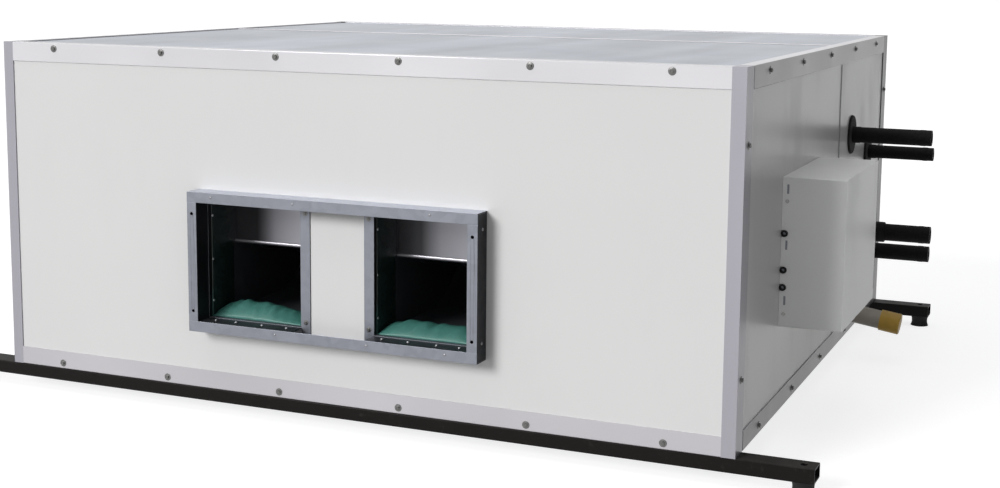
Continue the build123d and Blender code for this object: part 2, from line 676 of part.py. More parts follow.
wheel_w = WINDOW_W - 2 * SCROLL_T - 2 * WHEEL_SIDE_GAP
for name, middle_x in (("impeller_left", -window_mid_x), ("impeller_right", window_mid_x)):
    with BuildPart() as impeller:
        with BuildSketch(fan_plane(middle_x - wheel_w / 2)):
            with PolarLocations(0, BLADE_COUNT):
                add(blade.sketch)
        extrude(amount=wheel_w)
        for ring_x in (middle_x - wheel_w / 2, middle_x + wheel_w / 2 - WHEEL_RING_T):
            with BuildSketch(fan_plane(ring_x)):
                Circle(WHEEL_R)
                Circle(blade_inner_r + BLADE_DEPTH / 2, mode=Mode.SUBTRACT)
            extrude(amount=WHEEL_RING_T)
        with BuildSketch(fan_plane(middle_x - WHEEL_DISC_T / 2)):
            Circle(WHEEL_R)
        extrude(amount=WHEEL_DISC_T)
        with BuildSketch(fan_plane(middle_x - HUB_L / 2)):
            Circle(HUB_R)
        extrude(amount=HUB_L)
        with BuildSketch(fan_plane(middle_x - HUB_L / 2)):
            Circle(SHAFT_R + SHAFT_FIT)
        extrude(amount=HUB_L, mode=Mode.SUBTRACT)
    save(impeller, name)

# Fan shaft in two pillow blocks
bearing_x = window_x[1] + BEARING_FROM_FAN
pulley_x = bearing_x + PULLEY_FROM_BEARING
shaft_left_x = -bearing_x - BEARING_W
shaft_right_x = pulley_x + PULLEY_W
with BuildPart() as fan_shaft:
    with BuildSketch(fan_plane(shaft_left_x)):
        Circle(SHAFT_R)
    extrude(amount=shaft_right_x - shaft_left_x)
    chamfer(fan_shaft.edges().filter_by(GeomType.CIRCLE), SHAFT_CHAMFER)
save(fan_shaft, "fan_shaft")

base_v = BEARING_BASE_H - BEARING_AXIS_H
with BuildPart() as fan_bearings:
    for middle_x in (-bearing_x, bearing_x):
        with BuildSketch(fan_plane(middle_x - BEARING_W / 2)):
            with Locations((0, BEARING_BASE_H / 2 - BEARING_AXIS_H)):
                Rectangle(BEARING_BASE_L, BEARING_BASE_H)
            Circle(BEARING_R)
            with BuildLine():
                Polyline((-BEARING_R, 0), (-BEARING_R - BEARING_WEB, base_v),
                         (BEARING_R + BEARING_WEB, base_v), (BEARING_R, 0), close=True)
            make_face()
            Circle(SHAFT_R + SHAFT_FIT, mode=Mode.SUBTRACT)
        extrude(amount=BEARING_W)
        bolt_plane = Plane.XY.offset(fan_z - BEARING_AXIS_H + BEARING_BASE_H)
        with BuildSketch(bolt_plane):
            with Locations([(middle_x, fan_y + side * BEARING_BOLT_SPACING / 2) for side in (-1, 1)]):
                RegularPolygon(BEARING_BOLT_HEAD_R, 6)
        extrude(amount=BEARING_BOLT_HEAD_H)
save(fan_bearings, "fan_bearings")

# Bearing brackets: folded channels from the floor up to the pillow blocks, wider at the foot
bracket_top_z = fan_z - BEARING_AXIS_H
with BuildPart() as bearing_brackets:
    for middle_x, outward in ((-bearing_x, -1), (bearing_x, 1)):
        web = middle_x - outward * BEARING_W / 2
        span_x = sorted((web, web + outward * BEARING_BRACKET_W))
        web_x = sorted((web, web + outward * BRACKET_T))
        foot_y = (fan_y - BRACKET_FOOT_L / 2, fan_y + BRACKET_FOOT_L / 2)
        head_y = (fan_y - BEARING_BASE_L / 2, fan_y + BEARING_BASE_L / 2)
        block(span_x, foot_y, (FLOOR_Z, FLOOR_Z + BRACKET_T))
        block(span_x, head_y, (bracket_top_z - BRACKET_T, bracket_top_z))
        with BuildSketch(Plane(origin=(web_x[0], 0, 0), x_dir=(0, 1, 0), z_dir=(1, 0, 0))):
            with BuildLine():
                Polyline((foot_y[0], FLOOR_Z), (foot_y[1], FLOOR_Z), (head_y[1], bracket_top_z),
                         (head_y[0], bracket_top_z), close=True)
            make_face()
        extrude(amount=BRACKET_T)
save(bearing_brackets, "bearing_brackets")

# Fan stand: two channels across the casing under both housings
stand_x = (-window_x[1], window_x[1])
stand_top_z = fan_z + floor_v
with BuildPart() as fan_stand:
    for middle_y in (fan_y + outlet_u + STAND_FLANGE, fan_y - half_step - STAND_FLANGE / 2):
        with BuildSketch(Plane(origin=(stand_x[0], middle_y, FLOOR_Z), x_dir=(0, 1, 0), z_dir=(1, 0, 0))):
            with Locations((0, (stand_top_z - FLOOR_Z) / 2)):
                Rectangle(STAND_FLANGE, stand_top_z - FLOOR_Z)
            with Locations((STAND_T, (stand_top_z - FLOOR_Z) / 2)):
                Rectangle(STAND_FLANGE, stand_top_z - FLOOR_Z - 2 * STAND_T, mode=Mode.SUBTRACT)
        extrude(amount=stand_x[1] - stand_x[0])
save(fan_stand, "fan_stand")

# Belt drive: a large pulley on the fan shaft, a small one on the motor shaft
motor_y = FRONT_Y + MOTOR_FROM_FRONT
motor_z = BASE_Z + MOTOR_AXIS_Z
groove_slope = math.tan(math.radians(BELT_FLANK))
groove_half_w = BELT_W / 2 + BELT_GAP / math.cos(math.radians(BELT_FLANK))
groove_depth = BELT_H + GROOVE_EXTRA


def pulley_outline(radius, bore):
    """Half the section of a grooved pulley: distance from the axis, then along it."""
    half = PULLEY_W / 2
    bottom_half = groove_half_w - groove_depth * groove_slope
    return ((bore, -half), (radius, -half), (radius, -groove_half_w), (radius - groove_depth, -bottom_half),
            (radius - groove_depth, bottom_half), (radius, groove_half_w), (radius, half), (bore, half))


driven_axis = Axis((pulley_x, fan_y, fan_z), (1, 0, 0))
with BuildPart() as driven_pulley:
    with BuildSketch(Plane(origin=(pulley_x, fan_y, fan_z), x_dir=(0, 1, 0), z_dir=(0, 0, -1))):
        with BuildLine():
            Polyline(*pulley_outline(DRIVEN_PULLEY_R, SHAFT_R + SHAFT_FIT), close=True)
        make_face()
    revolve(axis=driven_axis)
    for face_x, inward in ((pulley_x - PULLEY_W / 2, 1), (pulley_x + PULLEY_W / 2, -1)):
        with BuildSketch(fan_plane(face_x)):
            Circle(DRIVEN_PULLEY_R - PULLEY_RIM)
            Circle(HUB_R, mode=Mode.SUBTRACT)
        extrude(amount=inward * PULLEY_RECESS, mode=Mode.SUBTRACT)
    with BuildSketch(fan_plane(pulley_x - PULLEY_W / 2)):
        with PolarLocations((HUB_R + DRIVEN_PULLEY_R - PULLEY_RIM) / 2, PULLEY_HOLES):
            Circle(PULLEY_HOLE_R)
    extrude(amount=PULLEY_W, mode=Mode.SUBTRACT)
save(driven_pulley, "driven_pulley")

with BuildPart() as motor_pulley:
    with BuildSketch(Plane(origin=(pulley_x, motor_y, motor_z), x_dir=(0, 1, 0), z_dir=(0, 0, -1))):
        with BuildLine():
            Polyline(*pulley_outline(MOTOR_PULLEY_R, MOTOR_SHAFT_R + SHAFT_FIT), close=True)
        make_face()
    revolve(axis=Axis((pulley_x, motor_y, motor_z), (1, 0, 0)))
save(motor_pulley, "motor_pulley")

belt_run_u = motor_y - fan_y
belt_run_v = motor_z - fan_z
belt_tilt = math.degrees(math.atan2(belt_run_v, belt_run_u))
belt_open = math.degrees(math.acos((DRIVEN_PULLEY_R - MOTOR_PULLEY_R) / math.hypot(belt_run_u, belt_run_v)))
belt_at_fan = on_circle((0, 0), DRIVEN_PULLEY_R, belt_tilt + belt_open)
belt_at_motor = on_circle((belt_run_u, belt_run_v), MOTOR_PULLEY_R, belt_tilt + belt_open)
belt_back_motor = on_circle((belt_run_u, belt_run_v), MOTOR_PULLEY_R, belt_tilt - belt_open)
belt_back_fan = on_circle((0, 0), DRIVEN_PULLEY_R, belt_tilt - belt_open)
with BuildPart() as drive_belt:
    with BuildLine(fan_plane(pulley_x)) as belt_path:
        Line(belt_at_fan, belt_at_motor)
        CenterArc((belt_run_u, belt_run_v), MOTOR_PULLEY_R, belt_tilt + belt_open, -2 * belt_open)
        Line(belt_back_motor, belt_back_fan)
        CenterArc((0, 0), DRIVEN_PULLEY_R, belt_tilt - belt_open, -(360 - 2 * belt_open))
    belt_start = belt_path.line.edges().filter_by(GeomType.LINE).sort_by(Axis.Z)[-1]
    belt_section = Plane(origin=belt_start @ 0, x_dir=(1, 0, 0), z_dir=belt_start % 0)
    with BuildSketch(belt_section) as belt_profile:
        with BuildLine():
            belt_inward = 1 if belt_section.y_dir.Z < 0 else -1
            Polyline((-BELT_W / 2, 0), (BELT_W / 2, 0),
                     (BELT_W / 2 - BELT_H * groove_slope, belt_inward * BELT_H),
                     (-BELT_W / 2 + BELT_H * groove_slope, belt_inward * BELT_H), close=True)
        make_face()
    sweep(path=belt_path.line, transition=Transition.RIGHT)
save(drive_belt, "drive_belt")


# Motor on two slide rails
def motor_plane(x):
    """A plane across the motor's axis."""
    return Plane(origin=(x, motor_y, motor_z), x_dir=(0, 1, 0), z_dir=(1, 0, 0))


motor_front_x = pulley_x - PULLEY_W / 2 - MOTOR_NOSE
motor_back_x = motor_front_x - MOTOR_L
motor_mid_x = (motor_front_x + motor_back_x) / 2
motor_core_r = MOTOR_R - MOTOR_FIN_H
with BuildPart() as motor:
    with BuildSketch(motor_plane(motor_back_x + MOTOR_END_L)):
        Circle(motor_core_r)
        with PolarLocations(motor_core_r + MOTOR_FIN_H / 2 - MOTOR_FIN_ROOT, MOTOR_FINS):
            Rectangle(MOTOR_FIN_H + 2 * MOTOR_FIN_ROOT, MOTOR_FIN_T)
    extrude(amount=MOTOR_L - 2 * MOTOR_END_L)
    for end_x, outward in ((motor_back_x + MOTOR_END_L, -1), (motor_front_x - MOTOR_END_L, 1)):
        with BuildSketch(motor_plane(end_x)):
            Circle(motor_core_r)
        extrude(amount=outward * MOTOR_END_L, taper=MOTOR_END_TAPER)
    with BuildSketch(Plane.XY.offset(motor_z - MOTOR_AXIS_H)):
        with Locations((motor_mid_x, motor_y)):
            Rectangle(MOTOR_FOOT_L, MOTOR_FOOT_W)
    extrude(amount=MOTOR_FOOT_H)
    block((motor_mid_x - MOTOR_FOOT_L / 2, motor_mid_x + MOTOR_FOOT_L / 2),
          (motor_y - MOTOR_NECK / 2, motor_y + MOTOR_NECK / 2),
          (motor_z - MOTOR_AXIS_H, motor_z))
    block((motor_mid_x - TERMINAL_BOX / 2, motor_mid_x + TERMINAL_BOX / 2),
          (motor_y - TERMINAL_BOX / 2, motor_y + TERMINAL_BOX / 2),
          (motor_z, motor_z + MOTOR_R + TERMINAL_BOX_H))
    with BuildSketch(motor_plane(motor_front_x)):
        Circle(MOTOR_SHAFT_R + SHAFT_FIT)
    extrude(amount=-MOTOR_SHAFT_IN, mode=Mode.SUBTRACT)
save(motor, "motor")

with BuildPart() as motor_shaft:
    with BuildSketch(motor_plane(motor_front_x - MOTOR_SHAFT_IN + MOTOR_NOSE / 2)):
        Circle(MOTOR_SHAFT_R)
    extrude(amount=MOTOR_SHAFT_IN + MOTOR_NOSE / 2 + PULLEY_W + MOTOR_NOSE / 2)
    chamfer(motor_shaft.edges().filter_by(GeomType.CIRCLE), SHAFT_CHAMFER)
save(motor_shaft, "motor_shaft")

with BuildPart() as motor_rails:
    rail_h = motor_z - MOTOR_AXIS_H - FLOOR_Z
    for side in (-1, 1):
        rail_x = motor_mid_x + side * (MOTOR_FOOT_L - SLIDE_RAIL_W) / 2
        rail_start = (rail_x, motor_y - SLIDE_RAIL_L / 2, FLOOR_Z + rail_h / 2)
        with BuildSketch(Plane(origin=rail_start, x_dir=(-1, 0, 0), z_dir=(0, 1, 0))):
            Rectangle(SLIDE_RAIL_W, rail_h)
            with Locations((0, -STAND_T)):
                Rectangle(SLIDE_RAIL_W - 2 * STAND_T, rail_h, mode=Mode.SUBTRACT)
        extrude(amount=SLIDE_RAIL_L)
save(motor_rails, "motor_rails")

# Coil: finned block between end plates, standing in the drain pan
coil_y = (FRONT_Y + COIL_FROM_FRONT, FRONT_Y + COIL_FROM_FRONT + COIL_D)
coil_z = (BASE_Z + COIL_Z, CEILING_Z - COIL_TOP_GAP)
pan_floor_z = FLOOR_Z + DRAIN_PAN_LIFT
with BuildPart() as coil_block:
    block((-COIL_W / 2, COIL_W / 2), coil_y, coil_z)
save(coil_block, "coil_block")

with BuildPart() as coil_end_plates:
    for plate_x in ((-COIL_W / 2 - END_PLATE_T, -COIL_W / 2), (COIL_W / 2, COIL_W / 2 + END_PLATE_T)):
        block(plate_x, coil_y, (pan_floor_z + DRAIN_PAN_T, coil_z[1]))
save(coil_end_plates, "coil_end_plates")

bend_pitch_z = (coil_z[1] - coil_z[0]) / BEND_ROWS
bend_r = bend_pitch_z / 4
with BuildPart() as return_bend:
    with BuildSketch(Plane(origin=(0, 0, bend_r), x_dir=(0, 1, 0), z_dir=(1, 0, 0))):
        Circle(BEND_TUBE_R)
    revolve(axis=Axis.Y, revolution_arc=-180)
bend_places = [(-COIL_W / 2 - END_PLATE_T, y, coil_z[0] + (row + 0.5) * bend_pitch_z)
               for y in (coil_y[0] + COIL_D / 4, coil_y[1] - COIL_D / 4) for row in range(BEND_ROWS)]
with BuildPart() as coil_return_bends:
    with Locations(*bend_places):
        add(return_bend.part)
save(coil_return_bends, "coil_return_bends")

baffle_y = (coil_y[0] + COIL_D / 2, coil_y[0] + COIL_D / 2 + COIL_BAFFLE_T)
with BuildPart() as coil_baffles:
    block((-INNER_X, INNER_X), baffle_y, (coil_z[1], CEILING_Z))
    block((-INNER_X, -COIL_W / 2 - END_PLATE_T), baffle_y, (FLOOR_Z, coil_z[1]))
    block((COIL_W / 2 + END_PLATE_T, INNER_X), baffle_y, (FLOOR_Z, coil_z[1]))
    pan_top_z = pan_floor_z + DRAIN_PAN_H
    block((-DRAIN_PAN_W / 2, DRAIN_PAN_W / 2), baffle_y, (FLOOR_Z, pan_top_z), mode=Mode.SUBTRACT)
save(coil_baffles, "coil_baffles")

pan_x = (-DRAIN_PAN_W / 2, DRAIN_PAN_W / 2)
pan_y = (FRONT_Y + DRAIN_PAN_FROM_FRONT, FRONT_Y + DRAIN_PAN_FROM_FRONT + DRAIN_PAN_D)
drain_y = FRONT_Y + DRAIN_FROM_FRONT
drain_start_x = pan_x[1] + DRAIN_R * math.sin(math.radians(DRAIN_SLOPE))
drain_start_z = BASE_Z + DRAIN_Z + (SIDE_X - drain_start_x) * drain_fall
with BuildPart() as drain_pan:
    block(pan_x, pan_y, (pan_floor_z, pan_floor_z + DRAIN_PAN_H))
    block((pan_x[0] + DRAIN_PAN_T, pan_x[1] - DRAIN_PAN_T), (pan_y[0] + DRAIN_PAN_T, pan_y[1] - DRAIN_PAN_T),
          (pan_floor_z + DRAIN_PAN_T, pan_floor_z + DRAIN_PAN_H), mode=Mode.SUBTRACT)
    with BuildSketch(Plane(origin=(pan_x[1], drain_y, drain_start_z), x_dir=(0, 1, 0), z_dir=(1, 0, 0))):
        Circle(DRAIN_R - DRAIN_WALL)
    extrude(amount=-DRAIN_PAN_T, mode=Mode.SUBTRACT)
save(drain_pan, "drain_pan")

with BuildPart() as drain_pan_supports:
    for support_y in (pan_y[0], pan_y[1] - PAN_SUPPORT_W):
        block(pan_x, (support_y, support_y + PAN_SUPPORT_W), (FLOOR_Z, pan_floor_z))
save(drain_pan_supports, "drain_pan_supports")

# Headers: an upright tube, its stubs into the coil and the line out through the side, brazed together
header_x = SIDE_X - HEADER_FROM_SIDE
for name, lines in (("gas_headers", PIPES[0::2]), ("liquid_headers", PIPES[1::2])):
    with BuildPart() as header:
        for from_front, height, sleeve_r, copper_r, reach in lines:
            pipe_y = FRONT_Y + from_front
            pipe_z = BASE_Z + height
            header_low = max(pipe_z - HEADER_L / 2, pan_floor_z + DRAIN_PAN_H)
            copper_l = SIDE_X + reach - COPPER_RECESS - header_x
            coil_edge_y = coil_y[0] + STUB_IN if pipe_y < coil_y[0] else coil_y[1] - STUB_IN
            stub_run = Vector(COIL_W / 2 + END_PLATE_T - header_x, coil_edge_y - pipe_y, 0)
            with BuildSketch(Plane.XY.offset(header_low)):
                with Locations((header_x, pipe_y)):
                    Circle(copper_r + HEADER_EXTRA)
            extrude(amount=HEADER_L)
            for stub in range(HEADER_STUBS):
                stub_z = header_low + (stub + 0.5) * HEADER_L / HEADER_STUBS
                stub_start = (header_x, pipe_y, stub_z)
                with BuildSketch(Plane(origin=stub_start, x_dir=(0, 0, 1), z_dir=stub_run.normalized())):
                    Circle(STUB_R)
                extrude(amount=stub_run.length - STUB_CLEAR * STUB_R)
            pipe_plane = Plane(origin=(header_x, pipe_y, pipe_z), x_dir=(0, 1, 0), z_dir=(1, 0, 0))
            with BuildSketch(pipe_plane):
                Circle(copper_r)
            extrude(amount=copper_l)
            with BuildSketch(pipe_plane.offset(copper_l)):
                Circle(copper_r - COPPER_WALL)
            extrude(amount=-COPPER_BORE_L, mode=Mode.SUBTRACT)
    save(header, name)

with BuildPart() as pipe_sleeves:
    for from_front, height, sleeve_r, copper_r, reach in PIPES:
        sleeve_x = header_x + copper_r + HEADER_EXTRA + SLEEVE_START
        with BuildSketch(Plane(origin=(sleeve_x, FRONT_Y + from_front, BASE_Z + height), x_dir=(0, 1, 0),
                               z_dir=(1, 0, 0))):
            Circle(sleeve_r)
            Circle(copper_r + SLEEVE_GAP / 2, mode=Mode.SUBTRACT)
        extrude(amount=SIDE_X + reach - sleeve_x)
save(pipe_sleeves, "pipe_sleeves")

with BuildPart() as pipe_rosettes:
    for from_front, height, sleeve_r, copper_r, reach in PIPES:
        with BuildSketch(right_plane):
            with Locations((FRONT_Y + from_front, BASE_Z + height)):
                Circle(ROSETTE_R)
                Circle(sleeve_r + SLEEVE_GAP, mode=Mode.SUBTRACT)
        extrude(amount=ROSETTE_T)
    rosette_rims = pipe_rosettes.edges().filter_by(GeomType.CIRCLE).group_by(Axis.X)[-1]
    fillet(rosette_rims.filter_by(lambda edge: edge.radius > ROSETTE_R - ROSETTE_T), ROSETTE_ROUND)
save(pipe_rosettes, "pipe_rosettes")

# Drain pipe, falling outwards, with a cap on its end
drain_plane = Plane(origin=(drain_start_x, drain_y, drain_start_z), x_dir=(0, 1, 0),
                    z_dir=(math.cos(math.radians(DRAIN_SLOPE)), 0, -math.sin(math.radians(DRAIN_SLOPE))))
drain_l = (SIDE_X + DRAIN_OUT - drain_start_x) / math.cos(math.radians(DRAIN_SLOPE)) - CAP_WALL - CAP_GAP
with BuildPart() as drain_pipe:
    with BuildSketch(drain_plane):
        Circle(DRAIN_R)
        Circle(DRAIN_R - DRAIN_WALL, mode=Mode.SUBTRACT)
    extrude(amount=drain_l)
save(drain_pipe, "drain_pipe")

with BuildPart() as drain_cap:
    with BuildSketch(drain_plane.offset(drain_l + CAP_GAP + CAP_WALL)):
        Circle(DRAIN_R + CAP_GAP + CAP_WALL)
    extrude(amount=-CAP_L)
    with BuildSketch(drain_plane.offset(drain_l + CAP_GAP)):
        Circle(DRAIN_R + CAP_GAP)
    extrude(amount=-CAP_L, mode=Mode.SUBTRACT)
    fillet(drain_cap.edges().filter_by(GeomType.CIRCLE).sort_by(Axis.X)[-1], CAP_ROUND)
save(drain_cap, "drain_cap")

# Control box: tray on the side panel, lift-off cover, and what it holds
box_y = (FRONT_Y + BOX_FROM_FRONT, FRONT_Y + BOX_FROM_FRONT + BOX_L)
box_z = (BASE_Z + BOX_Z, BASE_Z + BOX_Z + BOX_H)
box_x = (SKIN_X, SKIN_X + BOX_DEPTH)
tray_inset = BOX_T + BOX_FIT
tray_y = (box_y[0] + tray_inset, box_y[1] - tray_inset)
tray_z = (box_z[0] + tray_inset, box_z[1] - tray_inset)
with BuildPart() as control_box_tray:
    block((box_x[0], box_x[0] + BOX_FLANGE), tray_y, tray_z)
    block((box_x[0] + BOX_T, box_x[0] + BOX_FLANGE), (tray_y[0] + BOX_T, tray_y[1] - BOX_T),
          (tray_z[0] + BOX_T, tray_z[1] - BOX_T), mode=Mode.SUBTRACT)
    with BuildSketch(right_plane):
        with Locations([(y, z) for y, z, radius in cable_holes]):
            Circle(CABLE_HOLE_R)
    extrude(amount=BOX_T, mode=Mode.SUBTRACT)
save(control_box_tray, "control_box_tray")

notch_r = CABLE_HOLE_R + BOX_FIT
with BuildPart() as control_box_cover:
    with BuildSketch(Plane(origin=(box_x[0] + BOX_FIT, 0, 0), x_dir=(0, 1, 0), z_dir=(1, 0, 0))):
        with Locations(((box_y[0] + box_y[1]) / 2, (box_z[0] + box_z[1]) / 2)):
            RectangleRounded(BOX_L, BOX_H, BOX_BEND)
    extrude(amount=BOX_DEPTH - BOX_FIT)
    with BuildSketch(Plane(origin=(box_x[0] + BOX_FIT, 0, 0), x_dir=(0, 1, 0), z_dir=(1, 0, 0))):
        with Locations(((box_y[0] + box_y[1]) / 2, (box_z[0] + box_z[1]) / 2)):
            Rectangle(BOX_L - 2 * BOX_T, BOX_H - 2 * BOX_T)
    extrude(amount=BOX_DEPTH - BOX_FIT - BOX_T, mode=Mode.SUBTRACT)
    front_wall = Plane(origin=(0, box_y[0], 0), x_dir=(1, 0, 0), z_dir=(0, -1, 0))
    with BuildSketch(front_wall):
        for z in CABLE_HOLES_Z:
            with Locations((box_x[0] + notch_r, BASE_Z + z)):
                Circle(notch_r)
            with Locations((box_x[0] + notch_r / 2, BASE_Z + z)):
                Rectangle(notch_r, 2 * notch_r)
        with Locations([(box_x[0] + SLOT_FROM_PANEL, BASE_Z + z) for z in SLOTS_Z]):
            Rectangle(SLOT_W, SLOT_H)
    extrude(amount=-BOX_T, mode=Mode.SUBTRACT)
save(control_box_cover, "control_box_cover")

with BuildPart() as cable_grommets:
    grommet_plane = Plane(origin=(0, tray_y[0], 0), x_dir=(1, 0, 0), z_dir=(0, -1, 0))
    with BuildSketch(grommet_plane):
        with Locations([(box_x[0] + CABLE_HOLE_R, BASE_Z + z) for z in CABLE_HOLES_Z]):
            Circle(CABLE_HOLE_R)
            Circle(CABLE_HOLE_R / 2, mode=Mode.SUBTRACT)
    extrude(amount=GROMMET_L)
save(cable_grommets, "cable_grommets")

tray_face_x = box_x[0] + BOX_T
tray_mid_y = (box_y[0] + box_y[1]) / 2
with BuildPart() as terminal_block:
    terminal_z = box_z[0] + TERMINAL_FROM_BASE
    block((tray_face_x, tray_face_x + TERMINAL_D), (tray_mid_y - TERMINAL_L / 2, tray_mid_y + TERMINAL_L / 2),
          (terminal_z, terminal_z + TERMINAL_H))
    with BuildSketch(Plane(origin=(tray_face_x + TERMINAL_D, tray_mid_y, terminal_z + TERMINAL_H / 2),
                           x_dir=(0, 1, 0), z_dir=(1, 0, 0))):
        with GridLocations(TERMINAL_L / TERMINAL_WAYS, TERMINAL_H - TERMINAL_SLOT, TERMINAL_WAYS, 2):
            Rectangle(TERMINAL_L / TERMINAL_WAYS - TERMINAL_RIB, TERMINAL_SLOT)
    extrude(amount=-TERMINAL_SLOT, mode=Mode.SUBTRACT)
save(terminal_block, "terminal_block")

with BuildPart() as contactor:
    contactor_z = box_z[0] + CONTACTOR_FROM_BASE
    contactor_x = tray_face_x + CONTACTOR_D
    contactor_y = (box_y[0] + CONTACTOR_IN, box_y[0] + CONTACTOR_IN + CONTACTOR_W)
    block((tray_face_x, contactor_x), contactor_y, (contactor_z, contactor_z + CONTACTOR_H))
    block((contactor_x, contactor_x + CONTACTOR_NOSE),
          (contactor_y[0] + CONTACTOR_NOSE, contactor_y[1] - CONTACTOR_NOSE),
          (contactor_z + CONTACTOR_H / 4, contactor_z + CONTACTOR_H * 3 / 4))
save(contactor, "contactor")

with BuildPart() as control_board:
    board_y = (box_y[0] + BOARD_IN, box_y[0] + BOARD_IN + BOARD_L)
    board_z = (contactor_z, contactor_z + BOARD_H)
    board_x = tray_face_x + BOARD_STANDOFF
    block((board_x, board_x + BOARD_T), board_y, board_z)
    with BuildSketch(Plane(origin=(tray_face_x, (board_y[0] + board_y[1]) / 2, (board_z[0] + board_z[1]) / 2),
                           x_dir=(0, 1, 0), z_dir=(1, 0, 0))):
        with GridLocations(BOARD_L - 2 * BOARD_STANDOFF, BOARD_H - 2 * BOARD_STANDOFF, 2, 2):
            RegularPolygon(STANDOFF_R, 6)
    extrude(amount=BOARD_STANDOFF)
    block((board_x + BOARD_T, board_x + BOARD_T + RELAY), (board_y[0] + RELAY, board_y[0] + 3 * RELAY),
          (board_z[0] + RELAY, board_z[0] + 2 * RELAY))
    block((board_x + BOARD_T, board_x + BOARD_T + RELAY), (board_y[1] - 2 * RELAY, board_y[1] - RELAY),
          (board_z[1] - 3 * RELAY, board_z[1] - RELAY))
save(control_board, "control_board")

# Return side: two channels, and a filter from each side between them
filter_z = (return_z[0] - FILTER_OVERLAP, return_z[1] + FILTER_OVERLAP)
filter_y = (SKIN_REAR_Y + CHANNEL_T + FILTER_CLEAR, SKIN_REAR_Y + CHANNEL_T + FILTER_CLEAR + FILTER_T)
channel_y = (SKIN_REAR_Y, filter_y[1] + FILTER_FIT + CHANNEL_T)
channel_x = (-RETURN_W / 2 - FILTER_OVERLAP, RETURN_W / 2 + FILTER_OVERLAP)
with BuildPart() as filter_channels:
    for web_z, inward in ((filter_z[1] + FILTER_FIT, -1), (filter_z[0] - FILTER_FIT, 1)):
        block(channel_x, channel_y, sorted((web_z, web_z - inward * CHANNEL_T)))
        inner_leg_z = sorted((web_z, web_z + inward * FILTER_OVERLAP))
        block(channel_x, (channel_y[0], channel_y[0] + CHANNEL_T), inner_leg_z)
        outer_leg_z = sorted((web_z, web_z + inward * CHANNEL_LEG))
        block(channel_x, (channel_y[1] - CHANNEL_T, channel_y[1]), outer_leg_z)
save(filter_channels, "filter_channels")

filter_w = RETURN_W / 2 + FILTER_OVERLAP - FILTER_MIDDLE_GAP / 2
for side_name, side in (("left", -1), ("right", 1)):
    filter_mid_x = side * (FILTER_MIDDLE_GAP / 2 + filter_w / 2)
    filter_middle = (filter_mid_x, filter_y[0], (filter_z[0] + filter_z[1]) / 2)
    filter_plane = Plane(origin=filter_middle, x_dir=(-1, 0, 0), z_dir=(0, 1, 0))
    filter_h = filter_z[1] - filter_z[0]
    mesh_y = (filter_y[0] + filter_y[1]) / 2
    mesh_edge = FILTER_BAR - FILTER_MESH_SEAT
    with BuildPart() as filter_frame:
        with BuildSketch(filter_plane):
            Rectangle(filter_w, filter_h)
            Rectangle(filter_w - 2 * FILTER_BAR, filter_h - 2 * FILTER_BAR, mode=Mode.SUBTRACT)
        extrude(amount=FILTER_T)
        with BuildSketch(filter_plane.offset(FILTER_T / 2 - FILTER_MESH_T / 2)):
            Rectangle(filter_w - 2 * mesh_edge, filter_h - 2 * mesh_edge)
        extrude(amount=FILTER_MESH_T, mode=Mode.SUBTRACT)
    save(filter_frame, f"filter_frame_{side_name}")
    with BuildPart() as filter_mesh:
        with BuildSketch(filter_plane.offset(FILTER_T / 2 - FILTER_MESH_T / 2)):
            Rectangle(filter_w - 2 * mesh_edge, filter_h - 2 * mesh_edge)
        extrude(amount=FILTER_MESH_T)
    save(filter_mesh, f"filter_mesh_{side_name}")
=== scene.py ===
"""Finishes, canvas and small trim of a ducted air conditioner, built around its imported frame."""
import math
import random

import bmesh
import bpy
from bpy.props import FloatProperty, FloatVectorProperty, IntProperty, PointerProperty
from mathutils import Matrix, Vector


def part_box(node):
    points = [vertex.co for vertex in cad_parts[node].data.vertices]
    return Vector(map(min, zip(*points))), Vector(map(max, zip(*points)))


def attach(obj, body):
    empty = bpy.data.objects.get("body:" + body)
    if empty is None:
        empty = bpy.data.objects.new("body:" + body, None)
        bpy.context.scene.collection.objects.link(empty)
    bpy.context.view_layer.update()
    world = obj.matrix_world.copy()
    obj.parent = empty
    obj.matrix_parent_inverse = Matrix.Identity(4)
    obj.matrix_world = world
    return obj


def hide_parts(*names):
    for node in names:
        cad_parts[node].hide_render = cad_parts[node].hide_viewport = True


bl_info = {
    "name": "Ducted Air Conditioner",
    "version": (1, 0, 0),
    "blender": (4, 5, 0),
    "location": "3D View > Sidebar > Air Conditioner",
    "description": "Dresses the frame of a ducted air conditioner and sets the studio",
    "category": "Object",
}

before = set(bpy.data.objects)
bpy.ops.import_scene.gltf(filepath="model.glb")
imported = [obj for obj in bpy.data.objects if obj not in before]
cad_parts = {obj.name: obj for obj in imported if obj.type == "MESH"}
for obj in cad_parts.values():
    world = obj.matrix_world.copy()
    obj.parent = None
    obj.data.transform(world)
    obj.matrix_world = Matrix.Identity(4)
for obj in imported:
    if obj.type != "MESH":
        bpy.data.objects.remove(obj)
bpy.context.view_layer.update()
CASING_LOW, CASING_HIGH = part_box("corner_posts")
MM = 0.001


# Shader maths
class Value:
    """A shader socket. Expressions on it add Math nodes."""

    def __init__(self, shader, socket):
        self.shader = shader
        self.socket = socket

    def math(self, operation, first, second):
        """A Math node on two values."""
        return self.shader.node("Math", {"operation": operation}, {0: first, 1: second})

    def __add__(self, other):
        return self.math("ADD", self, other)

    __radd__ = __add__

    def __sub__(self, other):
        return self.math("SUBTRACT", self, other)

    def __rsub__(self, other):
        return self.math("SUBTRACT", other, self)

    def __mul__(self, other):
        return self.math("MULTIPLY", self, other)

    __rmul__ = __mul__

    def __pow__(self, other):
        return self.math("POWER", self, other)


